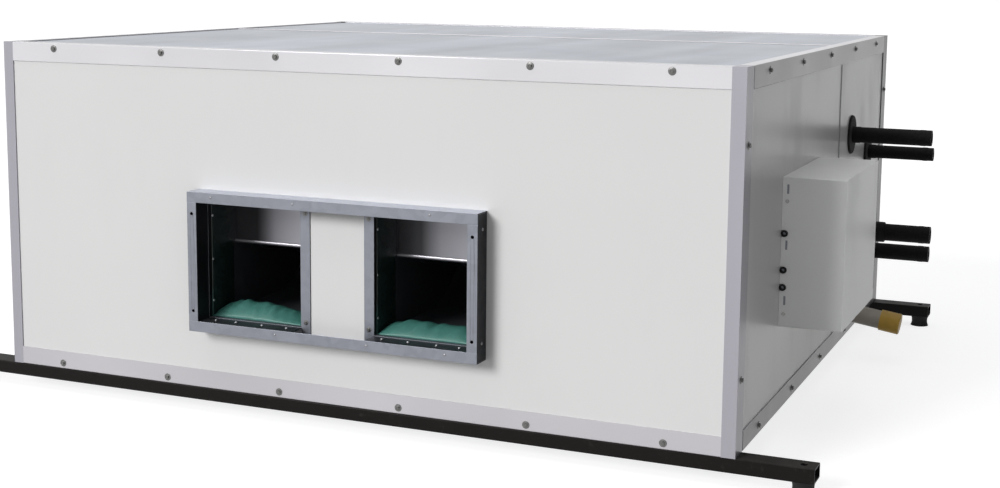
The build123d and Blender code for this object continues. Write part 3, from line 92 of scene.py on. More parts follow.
class Shader:
    """A node material in the making."""

    def __init__(self, name):
        self.material = bpy.data.materials.new(name)
        self.material.use_nodes = True
        self.tree = self.material.node_tree
        self.tree.nodes.clear()

    def node(self, kind, settings=None, inputs=None, output=0):
        """Any node: its type, its settings, the values or links of its sockets, and the output wanted."""
        made = self.tree.nodes.new("ShaderNode" + kind)
        for key, setting in (settings or {}).items():
            if key == "stops":
                self.write_stops(made.color_ramp, setting)
            else:
                setattr(made, key, setting)
        for key, value in (inputs or {}).items():
            if isinstance(value, Value):
                self.tree.links.new(value.socket, made.inputs[key])
            else:
                made.inputs[key].default_value = value
        return Value(self, made.outputs[output]) if made.outputs else None

    def write_stops(self, ramp, stops):
        """Fills a colour ramp with (position, grey level) stops."""
        while len(ramp.elements) < len(stops):
            ramp.elements.new(0.5)
        for element, (position, level) in zip(ramp.elements, stops):
            element.position = position
            element.color = (level, level, level, 1)

    def place(self, stretch=(1, 1, 1)):
        """The point on the object in metres, each axis multiplied by its stretch."""
        point = self.node("TexCoord", output="Object")
        return self.node("VectorMath", {"operation": "MULTIPLY"}, {0: point, 1: stretch})

    def noise(self, scale, detail=3.0, roughness=0.5, stretch=(1, 1, 1)):
        """Soft noise from 0 to 1."""
        inputs = {"Vector": self.place(stretch), "Scale": scale, "Detail": detail, "Roughness": roughness}
        return self.node("TexNoise", None, inputs)

    def ramp(self, factor, stops):
        """A grey level that follows the stops."""
        return self.node("ValToRGB", {"stops": stops}, {"Fac": factor})

    def mix(self, factor, first, second):
        """A blend of two colours."""
        inputs = {0: factor, 6: opaque(first), 7: opaque(second)}
        return self.node("Mix", {"data_type": "RGBA"}, inputs, output=2)

    def bump(self, height, distance, strength=1.0):
        """A normal bent by a height from 0 to 1 that stands for a distance in metres."""
        return self.node("Bump", None, {"Height": height, "Distance": distance, "Strength": strength})

    def facing(self, axis):
        """How far the surface faces along an axis, from -1 to 1."""
        normal = self.node("NewGeometry", output="Normal")
        return self.node("SeparateXYZ", None, {0: normal}, output=axis)

    def sideways(self):
        """1 on faces that look left or right, 0 elsewhere."""
        along = self.node("Math", {"operation": "ABSOLUTE"}, {0: self.facing("X")})
        return self.ramp(along, [(0.55, 0.0), (0.85, 1.0)])

    def height(self, axis="Z"):
        """The coordinate of the point along an axis, in metres."""
        return self.node("SeparateXYZ", None, {0: self.node("TexCoord", output="Object")}, output=axis)

    def finish(self, **inputs):
        """Closes the material with one principled surface."""
        names = {key.replace("_", " ").title().replace("Ior", "IOR"): value for key, value in inputs.items()}
        names["Base Color"] = opaque(names["Base Color"])
        surface = self.node("BsdfPrincipled", None, names)
        self.node("OutputMaterial", None, {"Surface": surface})
        return self.material


def opaque(colour):
    """A colour with its alpha, where it is plain numbers."""
    if isinstance(colour, Value) or len(colour) == 4:
        return colour
    return (*colour, 1.0)


def shade(colour, factor):
    """A colour made lighter or darker."""
    return tuple(min(1.0, part * factor) for part in colour)


# Finishes
def painted_sheet(name, colour, coat=0.25):
    """Satin paint on sheet steel: a fine skin, faint rolling waves, handling marks and settled dust."""
    shader = Shader(name)
    cloud = shader.noise(2.2, 2.0)
    smudge = shader.ramp(shader.noise(9.0, 5.0, 0.62, (1, 1, 0.35)), [(0.52, 0.0), (0.75, 1.0)])
    skin = shader.noise(420.0, 2.0)
    wave = shader.noise(3.0, 1.0, 0.4, (1, 1, 2.2))
    tint = shader.mix(cloud, shade(colour, 0.965), shade(colour, 1.02))
    tint = shader.mix(smudge * 0.10, tint, shade(colour, 0.80))
    normal = shader.bump(skin * 0.08 + wave, 1.2 * MM, 0.35)
    return shader.finish(base_color=tint, roughness=0.36 + smudge * 0.14 + cloud * 0.06, normal=normal,
                         coat_weight=coat, coat_roughness=0.22, specular_ior_level=0.45)


def galvanised(name, colour, spangle=75.0, roughness=0.36, side_shade=1.0, top_highlight=1.0):
    """Hot-dip galvanised sheet: crystals of unlike grey and dull patches, with painted shade on faces that look left
    or right and a painted highlight on upward faces where asked.
    """
    shader = Shader(name)
    cell = shader.node("TexVoronoi", None, {"Vector": shader.place(), "Scale": spangle, "Randomness": 1.0}, output=1)
    level = shader.node("SeparateColor", None, {0: cell})
    fine = shader.noise(900.0, 2.0)
    patch = shader.noise(14.0, 4.0, 0.6)
    tint = shader.mix(level, shade(colour, 0.94), shade(colour, 1.06))
    tint = shader.mix(patch * 0.28, tint, shade(colour, 0.74))
    # Painted shade: faces that look left or right get a darker copy of the colour.
    if side_shade < 1.0:
        tint = shader.mix(shader.sideways(), tint, shade(colour, side_shade))
    # Painted highlight: upward faces get a brighter copy of the colour.
    if top_highlight > 1.0:
        upward = shader.ramp(shader.facing("Z"), [(0.55, 0.0), (0.95, 1.0)])
        tint = shader.mix(upward, tint, shade(colour, top_highlight))
    normal = shader.bump(fine * 0.35 + patch, 0.25 * MM, 0.5)
    return shader.finish(base_color=tint, metallic=0.82, roughness=roughness + level * 0.08 + patch * 0.12,
                         normal=normal)


def rolled_sheet(name, colour, stretch, metallic=0.55, contrast=0.12, side_shade=1.0, rear_shade_from=None):
    """Bright rolled sheet: long soft bands that are partly rolling marks and partly painted reflection streaks, and
    handling haze. Where asked, it adds painted shade on side faces and on the rear end.
    """
    shader = Shader(name)
    band = shader.noise(5.0, 3.0, 0.55, stretch)
    streak = shader.noise(40.0, 4.0, 0.6, stretch)
    haze = shader.noise(6.0, 3.0, 0.6)
    # Painted reflection: the long bands lighten and darken the colour, partly as rolling marks and partly as
    # reflection streaks.
    wide = shader.ramp(band, [(0.30, 0.0), (0.70, 1.0)])
    tint = shader.mix(wide, shade(colour, 1 - contrast), shade(colour, 1 + contrast))
    tint = shader.mix(haze * 0.25, tint, shade(colour, 0.90))
    # Painted shade: faces that look left or right get a darker copy of the colour.
    if side_shade < 1.0:
        tint = shader.mix(shader.sideways(), tint, shade(colour, side_shade))
    # Painted shade: everything behind the given depth along Y turns almost black.
    if rear_shade_from is not None:
        rear_shade = shader.ramp((shader.height("Y") - rear_shade_from) * 200.0, [(0.0, 0.0), (1.0, 1.0)])
        tint = shader.mix(rear_shade, tint, shade(colour, 0.10))
    normal = shader.bump(streak * 0.2 + band, 0.7 * MM, 0.35)
    return shader.finish(base_color=tint, metallic=metallic, roughness=0.24 + haze * 0.16 + streak * 0.06,
                         normal=normal)


def bare_metal(name, colour, roughness, grain=300.0, metallic=0.95):
    """Drawn, machined or pressed metal with a fine grain and slight tarnish."""
    shader = Shader(name)
    tarnish = shader.noise(26.0, 5.0, 0.6)
    fine = shader.noise(grain, 3.0)
    tint = shader.mix(tarnish, shade(colour, 0.74), shade(colour, 1.10))
    normal = shader.bump(fine, 0.15 * MM, 0.5)
    return shader.finish(base_color=tint, metallic=metallic, roughness=roughness + tarnish * 0.2, normal=normal)


def moulded(name, colour, roughness=0.5, grain=700.0, depth=0.12, dusty=0.22):
    """Moulded plastic or rubber with a fine texture and dust on its upper faces."""
    shader = Shader(name)
    fine = shader.noise(grain, 3.0)
    soft = shader.noise(22.0, 4.0, 0.6)
    dust = shader.ramp(shader.facing("Z") * 0.6 + soft * 0.5, [(0.55, 0.0), (1.0, 1.0)])
    tint = shader.mix(soft, shade(colour, 0.85), shade(colour, 1.15))
    tint = shader.mix(dust * dusty, tint, (0.42, 0.41, 0.39))
    return shader.finish(base_color=tint, roughness=roughness + dust * 0.25,
                         normal=shader.bump(fine, depth * MM, 0.6), specular_ior_level=0.3)


def enamelled(name, colour, dusty=0.5):
    """Thick gloss enamel on rolled steel, with dust on top and rubbed spots."""
    shader = Shader(name)
    soft = shader.noise(18.0, 5.0, 0.62)
    rubbed = shader.ramp(shader.noise(60.0, 6.0, 0.7), [(0.60, 0.0), (0.72, 1.0)])
    dust = shader.ramp(shader.facing("Z") * 0.5 + soft * 0.6, [(0.5, 0.0), (0.95, 1.0)])
    tint = shader.mix(soft, shade(colour, 0.8), shade(colour, 1.5))
    tint = shader.mix(dust * dusty, tint, (0.13, 0.125, 0.12))
    tint = shader.mix(rubbed * dusty * 0.4, tint, (0.12, 0.11, 0.10))
    normal = shader.bump(shader.noise(260.0, 3.0), 0.2 * MM, 0.5)
    return shader.finish(base_color=tint, roughness=0.40 + dust * 0.3 + rubbed * 0.15, normal=normal,
                         specular_ior_level=0.10)


def foam_rubber(name):
    """Closed-cell foam sleeve: a matt black skin with shallow wrinkles, painted shade in their hollows, and chalky
    scuffs.
    """
    shader = Shader(name)
    wrinkle = shader.noise(70.0, 4.0, 0.6, (2.4, 1, 1))
    pore = shader.noise(900.0, 2.0)
    scuff = shader.ramp(shader.noise(45.0, 6.0, 0.7, (0.4, 1, 1)), [(0.58, 0.0), (0.78, 1.0)])
    # Painted shade: the skin is darker in the wrinkle hollows and lighter on their crests.
    tint = shader.mix(wrinkle, (0.003, 0.0025, 0.003), (0.009, 0.008, 0.0085))
    tint = shader.mix(scuff * 0.25, tint, (0.035, 0.034, 0.033))
    normal = shader.bump(wrinkle + pore * 0.15, 0.9 * MM, 0.6)
    return shader.finish(base_color=tint, roughness=0.66 + scuff * 0.2, normal=normal, specular_ior_level=0.12)


def coated_canvas(name, colour, shadow_from):
    """Coated canvas: a plain weave under a glossy film, worn paler in patches. It has painted shade and highlight
    along the folds, and painted shade above a height and on faces that look left or right.
    """
    shader = Shader(name)
    shadow_rate = 40.0
    threads = 5200.0
    across = shader.node("TexWave", {"bands_direction": "X"}, {"Vector": shader.place(), "Scale": threads / 20}, 1)
    along = shader.node("TexWave", {"bands_direction": "Y"}, {"Vector": shader.place(), "Scale": threads / 20}, 1)
    fold = shader.noise(38.0, 5.0, 0.6)
    pale = shader.ramp(shader.noise(120.0, 5.0, 0.65), [(0.45, 0.0), (0.8, 1.0)])
    # Painted shade and highlight: the colour follows the fold bump, darker in its hollows and lighter on its crests.
    tint = shader.mix(fold, shade(colour, 0.75), shade(colour, 1.25))
    tint = shader.mix(pale * 0.3, tint, shade(colour, 1.8))
    # Painted shadow: above the given height the canvas turns almost black.
    painted_shadow = shader.ramp((shader.height() - shadow_from) * shadow_rate, [(0.0, 0.0), (1.0, 1.0)])
    tint = shader.mix(painted_shadow, tint, shade(colour, 0.06))
    # Painted shade: faces that look left or right turn almost black.
    tint = shader.mix(shader.sideways(), tint, shade(colour, 0.08))
    normal = shader.bump(across * 0.12 + along * 0.12 + fold, 1.4 * MM, 0.7)
    return shader.finish(base_color=tint, roughness=0.42 + pale * 0.2, normal=normal, coat_weight=0.2,
                         coat_roughness=0.25)


def finned_face(name, colour):
    """The face of a finned coil: close upright fins with painted shade in the gaps between them, crushed spots, and
    tube rows behind them.
    """
    shader = Shader(name)
    fin_count = 500.0
    fins = shader.node("TexWave", {"bands_direction": "X", "wave_profile": "SAW"},
                       {"Vector": shader.place(), "Scale": fin_count / 20}, 1)
    tubes = shader.node("TexWave", {"bands_direction": "Z"}, {"Vector": shader.place(), "Scale": 2.0}, 1)
    crushed = shader.ramp(shader.noise(30.0, 6.0, 0.7), [(0.55, 0.0), (0.75, 1.0)])
    # Painted shade: the gaps between the fins are darkened to a third of the colour.
    tint = shader.mix(fins, shade(colour, 0.30), colour)
    tint = shader.mix(tubes * 0.25, tint, shade(colour, 0.45))
    tint = shader.mix(crushed * 0.4, tint, shade(colour, 1.2))
    return shader.finish(base_color=tint, metallic=0.8, roughness=0.42 + crushed * 0.2,
                         normal=shader.bump(fins + crushed * 0.4, 1.0 * MM, 0.8))


def woven_net(name, colour, threads=900.0):
    """A woven filter net: round threads both ways, with lint caught in it."""
    shader = Shader(name)
    across = shader.node("TexWave", {"bands_direction": "X"}, {"Vector": shader.place(), "Scale": threads / 20}, 1)
    along = shader.node("TexWave", {"bands_direction": "Z"}, {"Vector": shader.place(), "Scale": threads / 20}, 1)
    lint = shader.ramp(shader.noise(60.0, 6.0, 0.7), [(0.5, 0.0), (0.8, 1.0)])
    weave = shader.node("Math", {"operation": "MAXIMUM"}, {0: across, 1: along})
    tint = shader.mix(weave, shade(colour, 0.2), colour)
    tint = shader.mix(lint * 0.4, tint, (0.30, 0.29, 0.27))
    return shader.finish(base_color=tint, roughness=0.75, normal=shader.bump(weave, 0.5 * MM, 0.9))


def lining_foam(name, colour):
    """Open lining foam with a coarse pored skin."""
    shader = Shader(name)
    cell = shader.node("TexVoronoi", None, {"Vector": shader.place(), "Scale": 380.0})
    soft = shader.noise(12.0, 4.0, 0.6)
    tint = shader.mix(soft, shade(colour, 0.7), shade(colour, 1.4))
    tint = shader.mix(cell, tint, shade(colour, 0.5))
    return shader.finish(base_color=tint, roughness=0.95, normal=shader.bump(cell, 0.8 * MM, 0.8))


# Mesh helpers
def dress(material, *nodes, bevel=0.0):
    """Gives nodes of the frame a finish, and rounds their edges a little where asked."""
    for name in nodes:
        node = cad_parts[name]
        node.data.materials.clear()
        node.data.materials.append(material)
        if bevel:
            weld = node.modifiers.new("Weld", "WELD")
            weld.merge_threshold = 0.01 * MM
            rounding = node.modifiers.new("Edge", "BEVEL")
            rounding.width = bevel
            rounding.segments = 2
            rounding.limit_method = "ANGLE"
            rounding.angle_limit = math.radians(40)
            rounding.use_clamp_overlap = True
            rounding.harden_normals = True


def piece(name, mesh, material, body, smooth=True):
    """Turns a bmesh into an object that rides on a body."""
    data = bpy.data.meshes.new(name)
    mesh.to_mesh(data)
    mesh.free()
    made = bpy.data.objects.new(name, data)
    bpy.context.scene.collection.objects.link(made)
    data.materials.append(material)
    for polygon in data.polygons:
        polygon.use_smooth = smooth
    if smooth:
        data.set_sharp_from_angle(angle=math.radians(32))
    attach(made, body)
    return made


def islands(node):
    """The lowest and highest corner of each loose solid of a node."""
    mesh = bmesh.new()
    mesh.from_mesh(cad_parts[node].data)
    bmesh.ops.remove_doubles(mesh, verts=mesh.verts, dist=0.01 * MM)
    waiting = set(mesh.verts)
    found = []
    while waiting:
        front = [waiting.pop()]
        corners = []
        while front:
            corner = front.pop()
            corners.append(corner.co.copy())
            for edge in corner.link_edges:
                other = edge.other_vert(corner)
                if other in waiting:
                    waiting.remove(other)
                    front.append(other)
        low = Vector([min(corner[axis] for corner in corners) for axis in range(3)])
        high = Vector([max(corner[axis] for corner in corners) for axis in range(3)])
        found.append((low, high))
    mesh.free()
    found.sort(key=lambda pair: tuple(round(part, 4) for part in pair[0]))
    return found


def turned(place, outward, spin=0.0):
    """A matrix that stands a shape's Z along a direction at a place."""
    stand = Vector(outward).to_track_quat("Z", "Y").to_matrix().to_4x4()
    return Matrix.Translation(place) @ stand @ Matrix.Rotation(spin, 4, "Z")


def add_lathe(mesh, profile, matrix, segments):
    """Adds a turned shape: (radius, height) points from the foot to the top, closed at a zero radius."""
    rings = []
    for radius, height in profile:
        if radius == 0:
            rings.append([mesh.verts.new(matrix @ Vector((0, 0, height)))])
            continue
        ring = []
        for step in range(segments):
            angle = 2 * math.pi * step / segments
            ring.append(mesh.verts.new(matrix @ Vector((radius * math.cos(angle), radius * math.sin(angle), height))))
        rings.append(ring)
    for low, high in zip(rings, rings[1:]):
        for step in range(segments):
            following = (step + 1) % segments
            if len(high) == 1:
                mesh.faces.new((low[step], low[following], high[0]))
            elif len(low) == 1:
                mesh.faces.new((low[0], high[following], high[step]))
            else:
                mesh.faces.new((low[step], low[following], high[following], high[step]))


def add_hex_screw(mesh, place, outward, size, spin, grown=1.0):
    """Adds a hexagon head with a chamfered, dished top on a domed washer."""
    matrix = turned(place, outward, spin) @ Matrix.Scale(grown, 4)
    washer = size.washer / 2
    head = size.head / 2
    top = size.height
    rim = size.washer_thickness
    add_lathe(mesh, [(washer, 0), (washer, rim * 0.35), (washer * 0.93, rim * 0.8), (head * 1.02, rim * 1.15),
                     (0, rim * 1.2)], matrix, 24)
    add_lathe(mesh, [(head, rim), (head, top * 0.84), (head * 0.86, top), (head * 0.55, top),
                     (head * 0.42, top * 0.86), (0, top * 0.84)], matrix, 6)


def add_block(mesh, low, high):
    """Adds a plain block between two corners."""
    centre = (Vector(low) + Vector(high)) / 2
    size = Vector(high) - Vector(low)
    matrix = Matrix.Translation(centre) @ Matrix.Diagonal((*size, 1))
    bmesh.ops.create_cube(mesh, size=1.0, matrix=matrix)


def soften(made, width, segments=2):
    """Rounds the edges of a new piece."""
    rounding = made.modifiers.new("Edge", "BEVEL")
    rounding.width = width
    rounding.segments = segments
    rounding.limit_method = "ANGLE"
    rounding.angle_limit = math.radians(40)


# Sizes and colours that a user would change
def colour_property(name, description, default):
    """A colour with its own name in the panel."""
    return FloatVectorProperty(name=name, description=description, subtype="COLOR", size=3, min=0, max=1,
                               default=default)


def length_property(name, description, default):
    """A length in metres."""
    return FloatProperty(name=name, description=description, default=default, min=0, unit="LENGTH", precision=4)


class CasingLook(bpy.types.PropertyGroup):
    """Colours of the casing."""
    panel: colour_property("Panel paint", "Paint of the front and side panels", (0.70, 0.695, 0.69))
    # The box paint is set lighter than the panel paint to lift the box front out of the key light's shade: painted
    # light.
    cover: colour_property("Box paint", "Paint of the control box cover", (0.86, 0.86, 0.855))
    post: colour_property("Posts", "Upright corner posts", (0.37, 0.36, 0.40))
    trim: colour_property("Lower trims", "Trims along the bottom edges", (0.52, 0.505, 0.53))
    upper_trim: colour_property("Upper trims", "Trims along the top edges", (0.64, 0.63, 0.65))
    top: colour_property("Top sheet", "Rolled sheet of the top panels", (0.325, 0.35, 0.40))
    zinc: colour_property("Galvanised", "Galvanised sheet of the outlet and the inside", (0.215, 0.225, 0.255))
    edge_radius: length_property("Edge rounding", "Rounding of folded sheet edges", 0.0009)


class ScrewSize(bpy.types.PropertyGroup):
    """Washer-head screws of the casing."""
    head: length_property("Head", "Hexagon across its corners", 0.008)
    washer: length_property("Washer", "Diameter of the washer", 0.014)
    washer_thickness: length_property("Washer thickness", "Thickness of the washer", 0.0012)
    height: length_property("Height", "From the sheet to the top of the head", 0.004)


class CanvasShape(bpy.types.PropertyGroup):
    """The slack canvas between the throats and the fans."""
    colour: colour_property("Canvas", "Coated canvas", (0.050, 0.185, 0.155))
    billow: length_property("Billow", "How far the slack floor of the sleeve rises", 0.026)
    wrinkle: length_property("Wrinkle", "Depth of the wrinkles", 0.0026)
    seed: IntProperty(name="Seed", description="Chooses the wrinkles", default=7, min=0)


class StudioLook(bpy.types.PropertyGroup):
    """Light and floor."""
    key: FloatProperty(name="Key light", description="Strength of the main lamp", default=2.35, min=0)
    room: FloatProperty(name="Room light", description="Strength of the even light", default=0.36, min=0)
    focal: FloatProperty(name="Focal length", description="Lens in millimetres on a 36 mm sensor", default=55.31)


# Casing
class AIRCON_OT_casing(bpy.types.Operator):
    """Paints the panels and trims, and lays the joint strips on the top"""
    bl_idname = "aircon.casing"
    bl_label = "Casing"

    def execute(self, context):
        look = context.scene.casing_look
        edge = look.edge_radius
        panel = painted_sheet("panel_paint", look.panel)
        # Lower trims: painted shade on their side faces.
        trim = rolled_sheet("lower_trim", look.trim, (0.25, 0.25, 0.25), 0.25, side_shade=0.40)
        # Upper trims: painted shade on their side faces and on their rear ends.
        rear = CASING_HIGH.y - 20 * MM
        upper_trim = rolled_sheet("upper_trim", look.upper_trim, (0.25, 0.25, 0.25), 0.25, side_shade=0.58, rear_shade_from=rear)
        # Posts: painted shade on the rear posts, behind the middle of the casing.
        post = rolled_sheet("post_trim", look.post, (0.6, 0.6, 0.15), 0.25, rear_shade_from=0.0)
        # Top sheet: strong bands, partly painted reflection streaks.
        top = rolled_sheet("top_sheet", look.top, (1.0, 0.12, 1.0), 0.45, 0.36)
        zinc = galvanised("casing_zinc", look.zinc)
        dress(panel, "front_panel", "left_panel_fan", "left_panel_coil", "right_panel_fan", "right_panel_coil",
              bevel=edge * 0.5)
        dress(post, "corner_posts", bevel=edge * 0.5)
        dress(upper_trim, "top_trims", bevel=edge * 0.5)
        dress(trim, "bottom_trims", bevel=edge * 0.5)
        dress(top, "top_panel_fan", "top_panel_coil", bevel=edge * 0.5)
        dress(zinc, "rear_panel", "base_panel", bevel=edge * 0.5)
        dress(lining_foam("lining_foam", (0.05, 0.05, 0.052)), "insulation_pads")
        self.joint_strips(rolled_sheet("joint_strip", look.upper_trim, (0.25, 0.25, 0.25), 0.15), trim)
        return {"FINISHED"}

    def joint_strips(self, top, trim):
        """Slim raised strips where the two casing sections meet, on the top and the sides."""
        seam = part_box("top_panel_fan")[1].y + 0.5 * MM
        skin_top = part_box("top_panel_fan")[1].z
        skin_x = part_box("right_panel_fan")[1].x
        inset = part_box("top_trims")[1].x - 27 * MM
        mesh = bmesh.new()
        add_block(mesh, (-inset, seam - 7 * MM, skin_top), (inset, seam + 7 * MM, skin_top + 1.6 * MM))
        strip = piece("top_joint_strip", mesh, top, "casing")
        soften(strip, 1.2 * MM, 3)
        mesh = bmesh.new()
        for side in (-1, 1):
            outer = side * (skin_x + 1.4 * MM)
            add_block(mesh, (min(side * skin_x, outer), seam - 3.5 * MM, CASING_LOW.z + 36 * MM),
                      (max(side * skin_x, outer), seam + 3.5 * MM, CASING_HIGH.z - 41 * MM))
        strip = piece("side_joint_strips", mesh, trim, "casing")
        soften(strip, 1.0 * MM, 3)


PAN_HEAD = [(3.2 * MM, 0), (3.1 * MM, 0.9 * MM), (2.2 * MM, 1.8 * MM), (1.0 * MM, 1.9 * MM), (0, 1.5 * MM)]
RIVET = [(2.2 * MM, 0), (2.1 * MM, 0.5 * MM), (1.2 * MM, 1.0 * MM), (0, 1.1 * MM)]
WINDOW_INNER = 75 * MM
WINDOW_OUTER = 277 * MM
WINDOW_HEIGHT = 226 * MM
WINDOW_BOTTOM = 189 * MM


class AIRCON_OT_screws(bpy.types.Operator):
    """Puts chamfered washer-head screws where the frame has plain ones"""
    bl_idname = "aircon.screws"
    bl_label = "Screws"

    def execute(self, context):
        zinc = bare_metal("screw_zinc", (0.17, 0.17, 0.165), 0.20)
        chance = random.Random(11)
        for node in ("casing_screws", "outlet_screws"):
            mesh = bmesh.new()
            for low, high in islands(node):
                size = high - low
                axis = min(range(3), key=lambda index: size[index])
                outward = Vector((0, 0, 0))
                outward[axis] = -1 if low[axis] < 0 else 1
                foot = (low + high) / 2
                foot[axis] = high[axis] if outward[axis] < 0 else low[axis]
                grown = 1.0 if node == "casing_screws" else 0.7
                add_hex_screw(mesh, foot, outward, context.scene.screw_size, chance.uniform(0, math.pi / 3), grown)
            screws = piece(f"{node}_turned", mesh, zinc, "casing")
            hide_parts(node)
        return {"FINISHED"}


# Outlet
class AIRCON_OT_outlet(bpy.types.Operator):
    """Finishes the outlet frame and throats, with the small screws and rivets inside"""
    bl_idname = "aircon.outlet"
    bl_label = "Outlet"

    def execute(self, context):
        look = context.scene.casing_look
        # Outlet frame: painted shade on side faces and a painted highlight on upward faces.
        zinc = galvanised("outlet_zinc", look.zinc, 90.0, 0.34, side_shade=0.10, top_highlight=2.2)
        dress(zinc, "outlet_cross_angles", "outlet_side_angles", bevel=0.5 * MM)
        # Throats: painted shade on side faces.
        dress(galvanised("throat_zinc", shade(look.zinc, 0.95), 90.0, 0.38, side_shade=0.10), "outlet_throats",
              bevel=0.3 * MM)
        bright = bare_metal("screw_bright", (0.55, 0.55, 0.57), 0.22)
        plate = self.cut_off_sheet((0.34, 0.34, 0.37))
        dress(plate, "cutoff_plates", bevel=0.4 * MM)
        # Liners: a darker copy of the galvanised colour as painted shade inside the throats, with painted shade on
        # side faces too.
        self.liners(galvanised("liner_zinc", shade(look.zinc, 0.30), 90.0, 0.40, side_shade=0.35))
        self.lips(plate)
        self.small_screws(bright)
        self.frame_rivets(bare_metal("rivet_zinc", (0.24, 0.24, 0.25), 0.3))
        return {"FINISHED"}

    def cut_off_sheet(self, colour):
        """Bright sheet with a painted dark reflection over the left third of each window, brightening to the right."""
        shader = Shader("cut_off_sheet")
        left, gap, width = WINDOW_OUTER, WINDOW_INNER, WINDOW_OUTER - WINDOW_INNER
        across = shader.height("X")
        right_half = shader.node("Math", {"operation": "GREATER_THAN"}, {0: across, 1: 0.0})
        share = (across + left - right_half * (left + gap)) * (1 / width)
        # Painted reflection: the colour is near black on the left of each window and full on the right.
        level = shader.ramp(share, [(0.0, 0.30), (0.26, 0.10), (0.46, 0.55), (1.0, 1.0)])
        tint = shader.mix(level, (0.004, 0.004, 0.0045), colour)
        normal = shader.bump(shader.noise(30.0, 3.0, 0.5, (0.3, 1, 1)), 0.3 * MM, 0.4)
        return shader.finish(base_color=tint, metallic=0.85, roughness=0.30 + level * 0.06, normal=normal)

    def liners(self, zinc):
        """Thin plates from the flange back to the throats, on the outer side, the floor and the top."""
        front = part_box("outlet_side_angles")[0].y + 2.2 * MM
        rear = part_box("outlet_throats")[0].y + 1.0 * MM
        low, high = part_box("outlet_throats")
        bottom = WINDOW_BOTTOM
        top = bottom + WINDOW_HEIGHT
        thickness = 0.8 * MM
        mesh = bmesh.new()
        for side in (-1, 1):
            inner, outer = side * WINDOW_INNER, side * WINDOW_OUTER
            add_block(mesh, (outer, front, bottom), (outer + side * thickness, rear, top))
            for height, outward in ((bottom, -1), (top, 1)):
                add_block(mesh, (inner, front, height), (outer, rear, height + outward * thickness))
        piece("throat_liners", mesh, zinc, "casing", smooth=False)

    def lips(self, plate):
        """The rolled edge along the foot of each cut-off plate."""
        low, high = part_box("cutoff_plates")
        radius = 4.5 * MM
        centre_y = low.y + radius - 1.5 * MM
        centre_z = low.z + radius * 0.6
        mesh = bmesh.new()
        section = []
        for size, turns in ((radius, range(0, 13)), (radius - 1.0 * MM, range(12, -1, -1))):
            for turn in turns:
                angle = math.radians(120 + turn * 15)
                section.append((centre_y + size * math.cos(angle), centre_z + size * math.sin(angle)))
        for side in (-1, 1):
            ends = []
            for x in (side * (WINDOW_INNER + 2 * MM), side * (WINDOW_OUTER - 2 * MM)):
                ends.append([mesh.verts.new((x, y, z)) for y, z in section])
            count = len(section)
            for index in range(count):
                following = (index + 1) % count
                mesh.faces.new((ends[0][index], ends[0][following], ends[1][following], ends[1][index]))
            mesh.faces.new(ends[0])
            mesh.faces.new(reversed(ends[1]))
        bmesh.ops.recalc_face_normals(mesh, faces=mesh.faces)
        lip = bare_metal("lip_bright", (0.40, 0.39, 0.42), 0.30)
        piece("cutoff_lips", mesh, lip, "casing")

    def small_screws(self, bright):
        """Pan-head screws through the throat walls and along the floor of each window."""
        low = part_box("outlet_throats")[0]
        mesh = bmesh.new()
        wall = 1.2 * MM
        screw_y = low.y + 14 * MM
        floor_y = low.y - 14 * MM
        for side in (-1, 1):
            for height in (0.220, 0.300, 0.384):
                for x, outward in ((side * (WINDOW_INNER + wall), side), (side * (WINDOW_OUTER - wall), -side)):
                    add_lathe(mesh, PAN_HEAD, turned(Vector((x, screw_y, height)), (outward, 0, 0)), 12)
            for share in (0.12, 0.38, 0.66, 0.88):
                x = side * (WINDOW_INNER + share * (WINDOW_OUTER - WINDOW_INNER))
                add_lathe(mesh, PAN_HEAD, turned(Vector((x, floor_y, WINDOW_BOTTOM)), (0, 0, 1)), 12)
        piece("throat_screws", mesh, bright, "casing")

    def frame_rivets(self, bright):
        """Small rivets on the flanges and on the outside of the frame's webs."""
        low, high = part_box("outlet_cross_angles")
        mesh = bmesh.new()
        for x in (-0.245, -0.070, 0.205):
            add_lathe(mesh, RIVET, turned(Vector((x, low.y, high.z - 9 * MM)), (0, -1, 0)), 12)
        for x in (-0.110, 0.080, 0.235):
            add_lathe(mesh, RIVET, turned(Vector((x, low.y, low.z + 11 * MM)), (0, -1, 0)), 12)
        middle_y = (low.y + high.y) / 2
        for side in (-1, 1):
            for height in (low.z + 34 * MM, high.z - 30 * MM):
                place = Vector((side * high.x, middle_y, height))
                add_lathe(mesh, PAN_HEAD, turned(place, (side, 0, 0)), 12)
        piece("frame_rivets", mesh, bright, "casing")


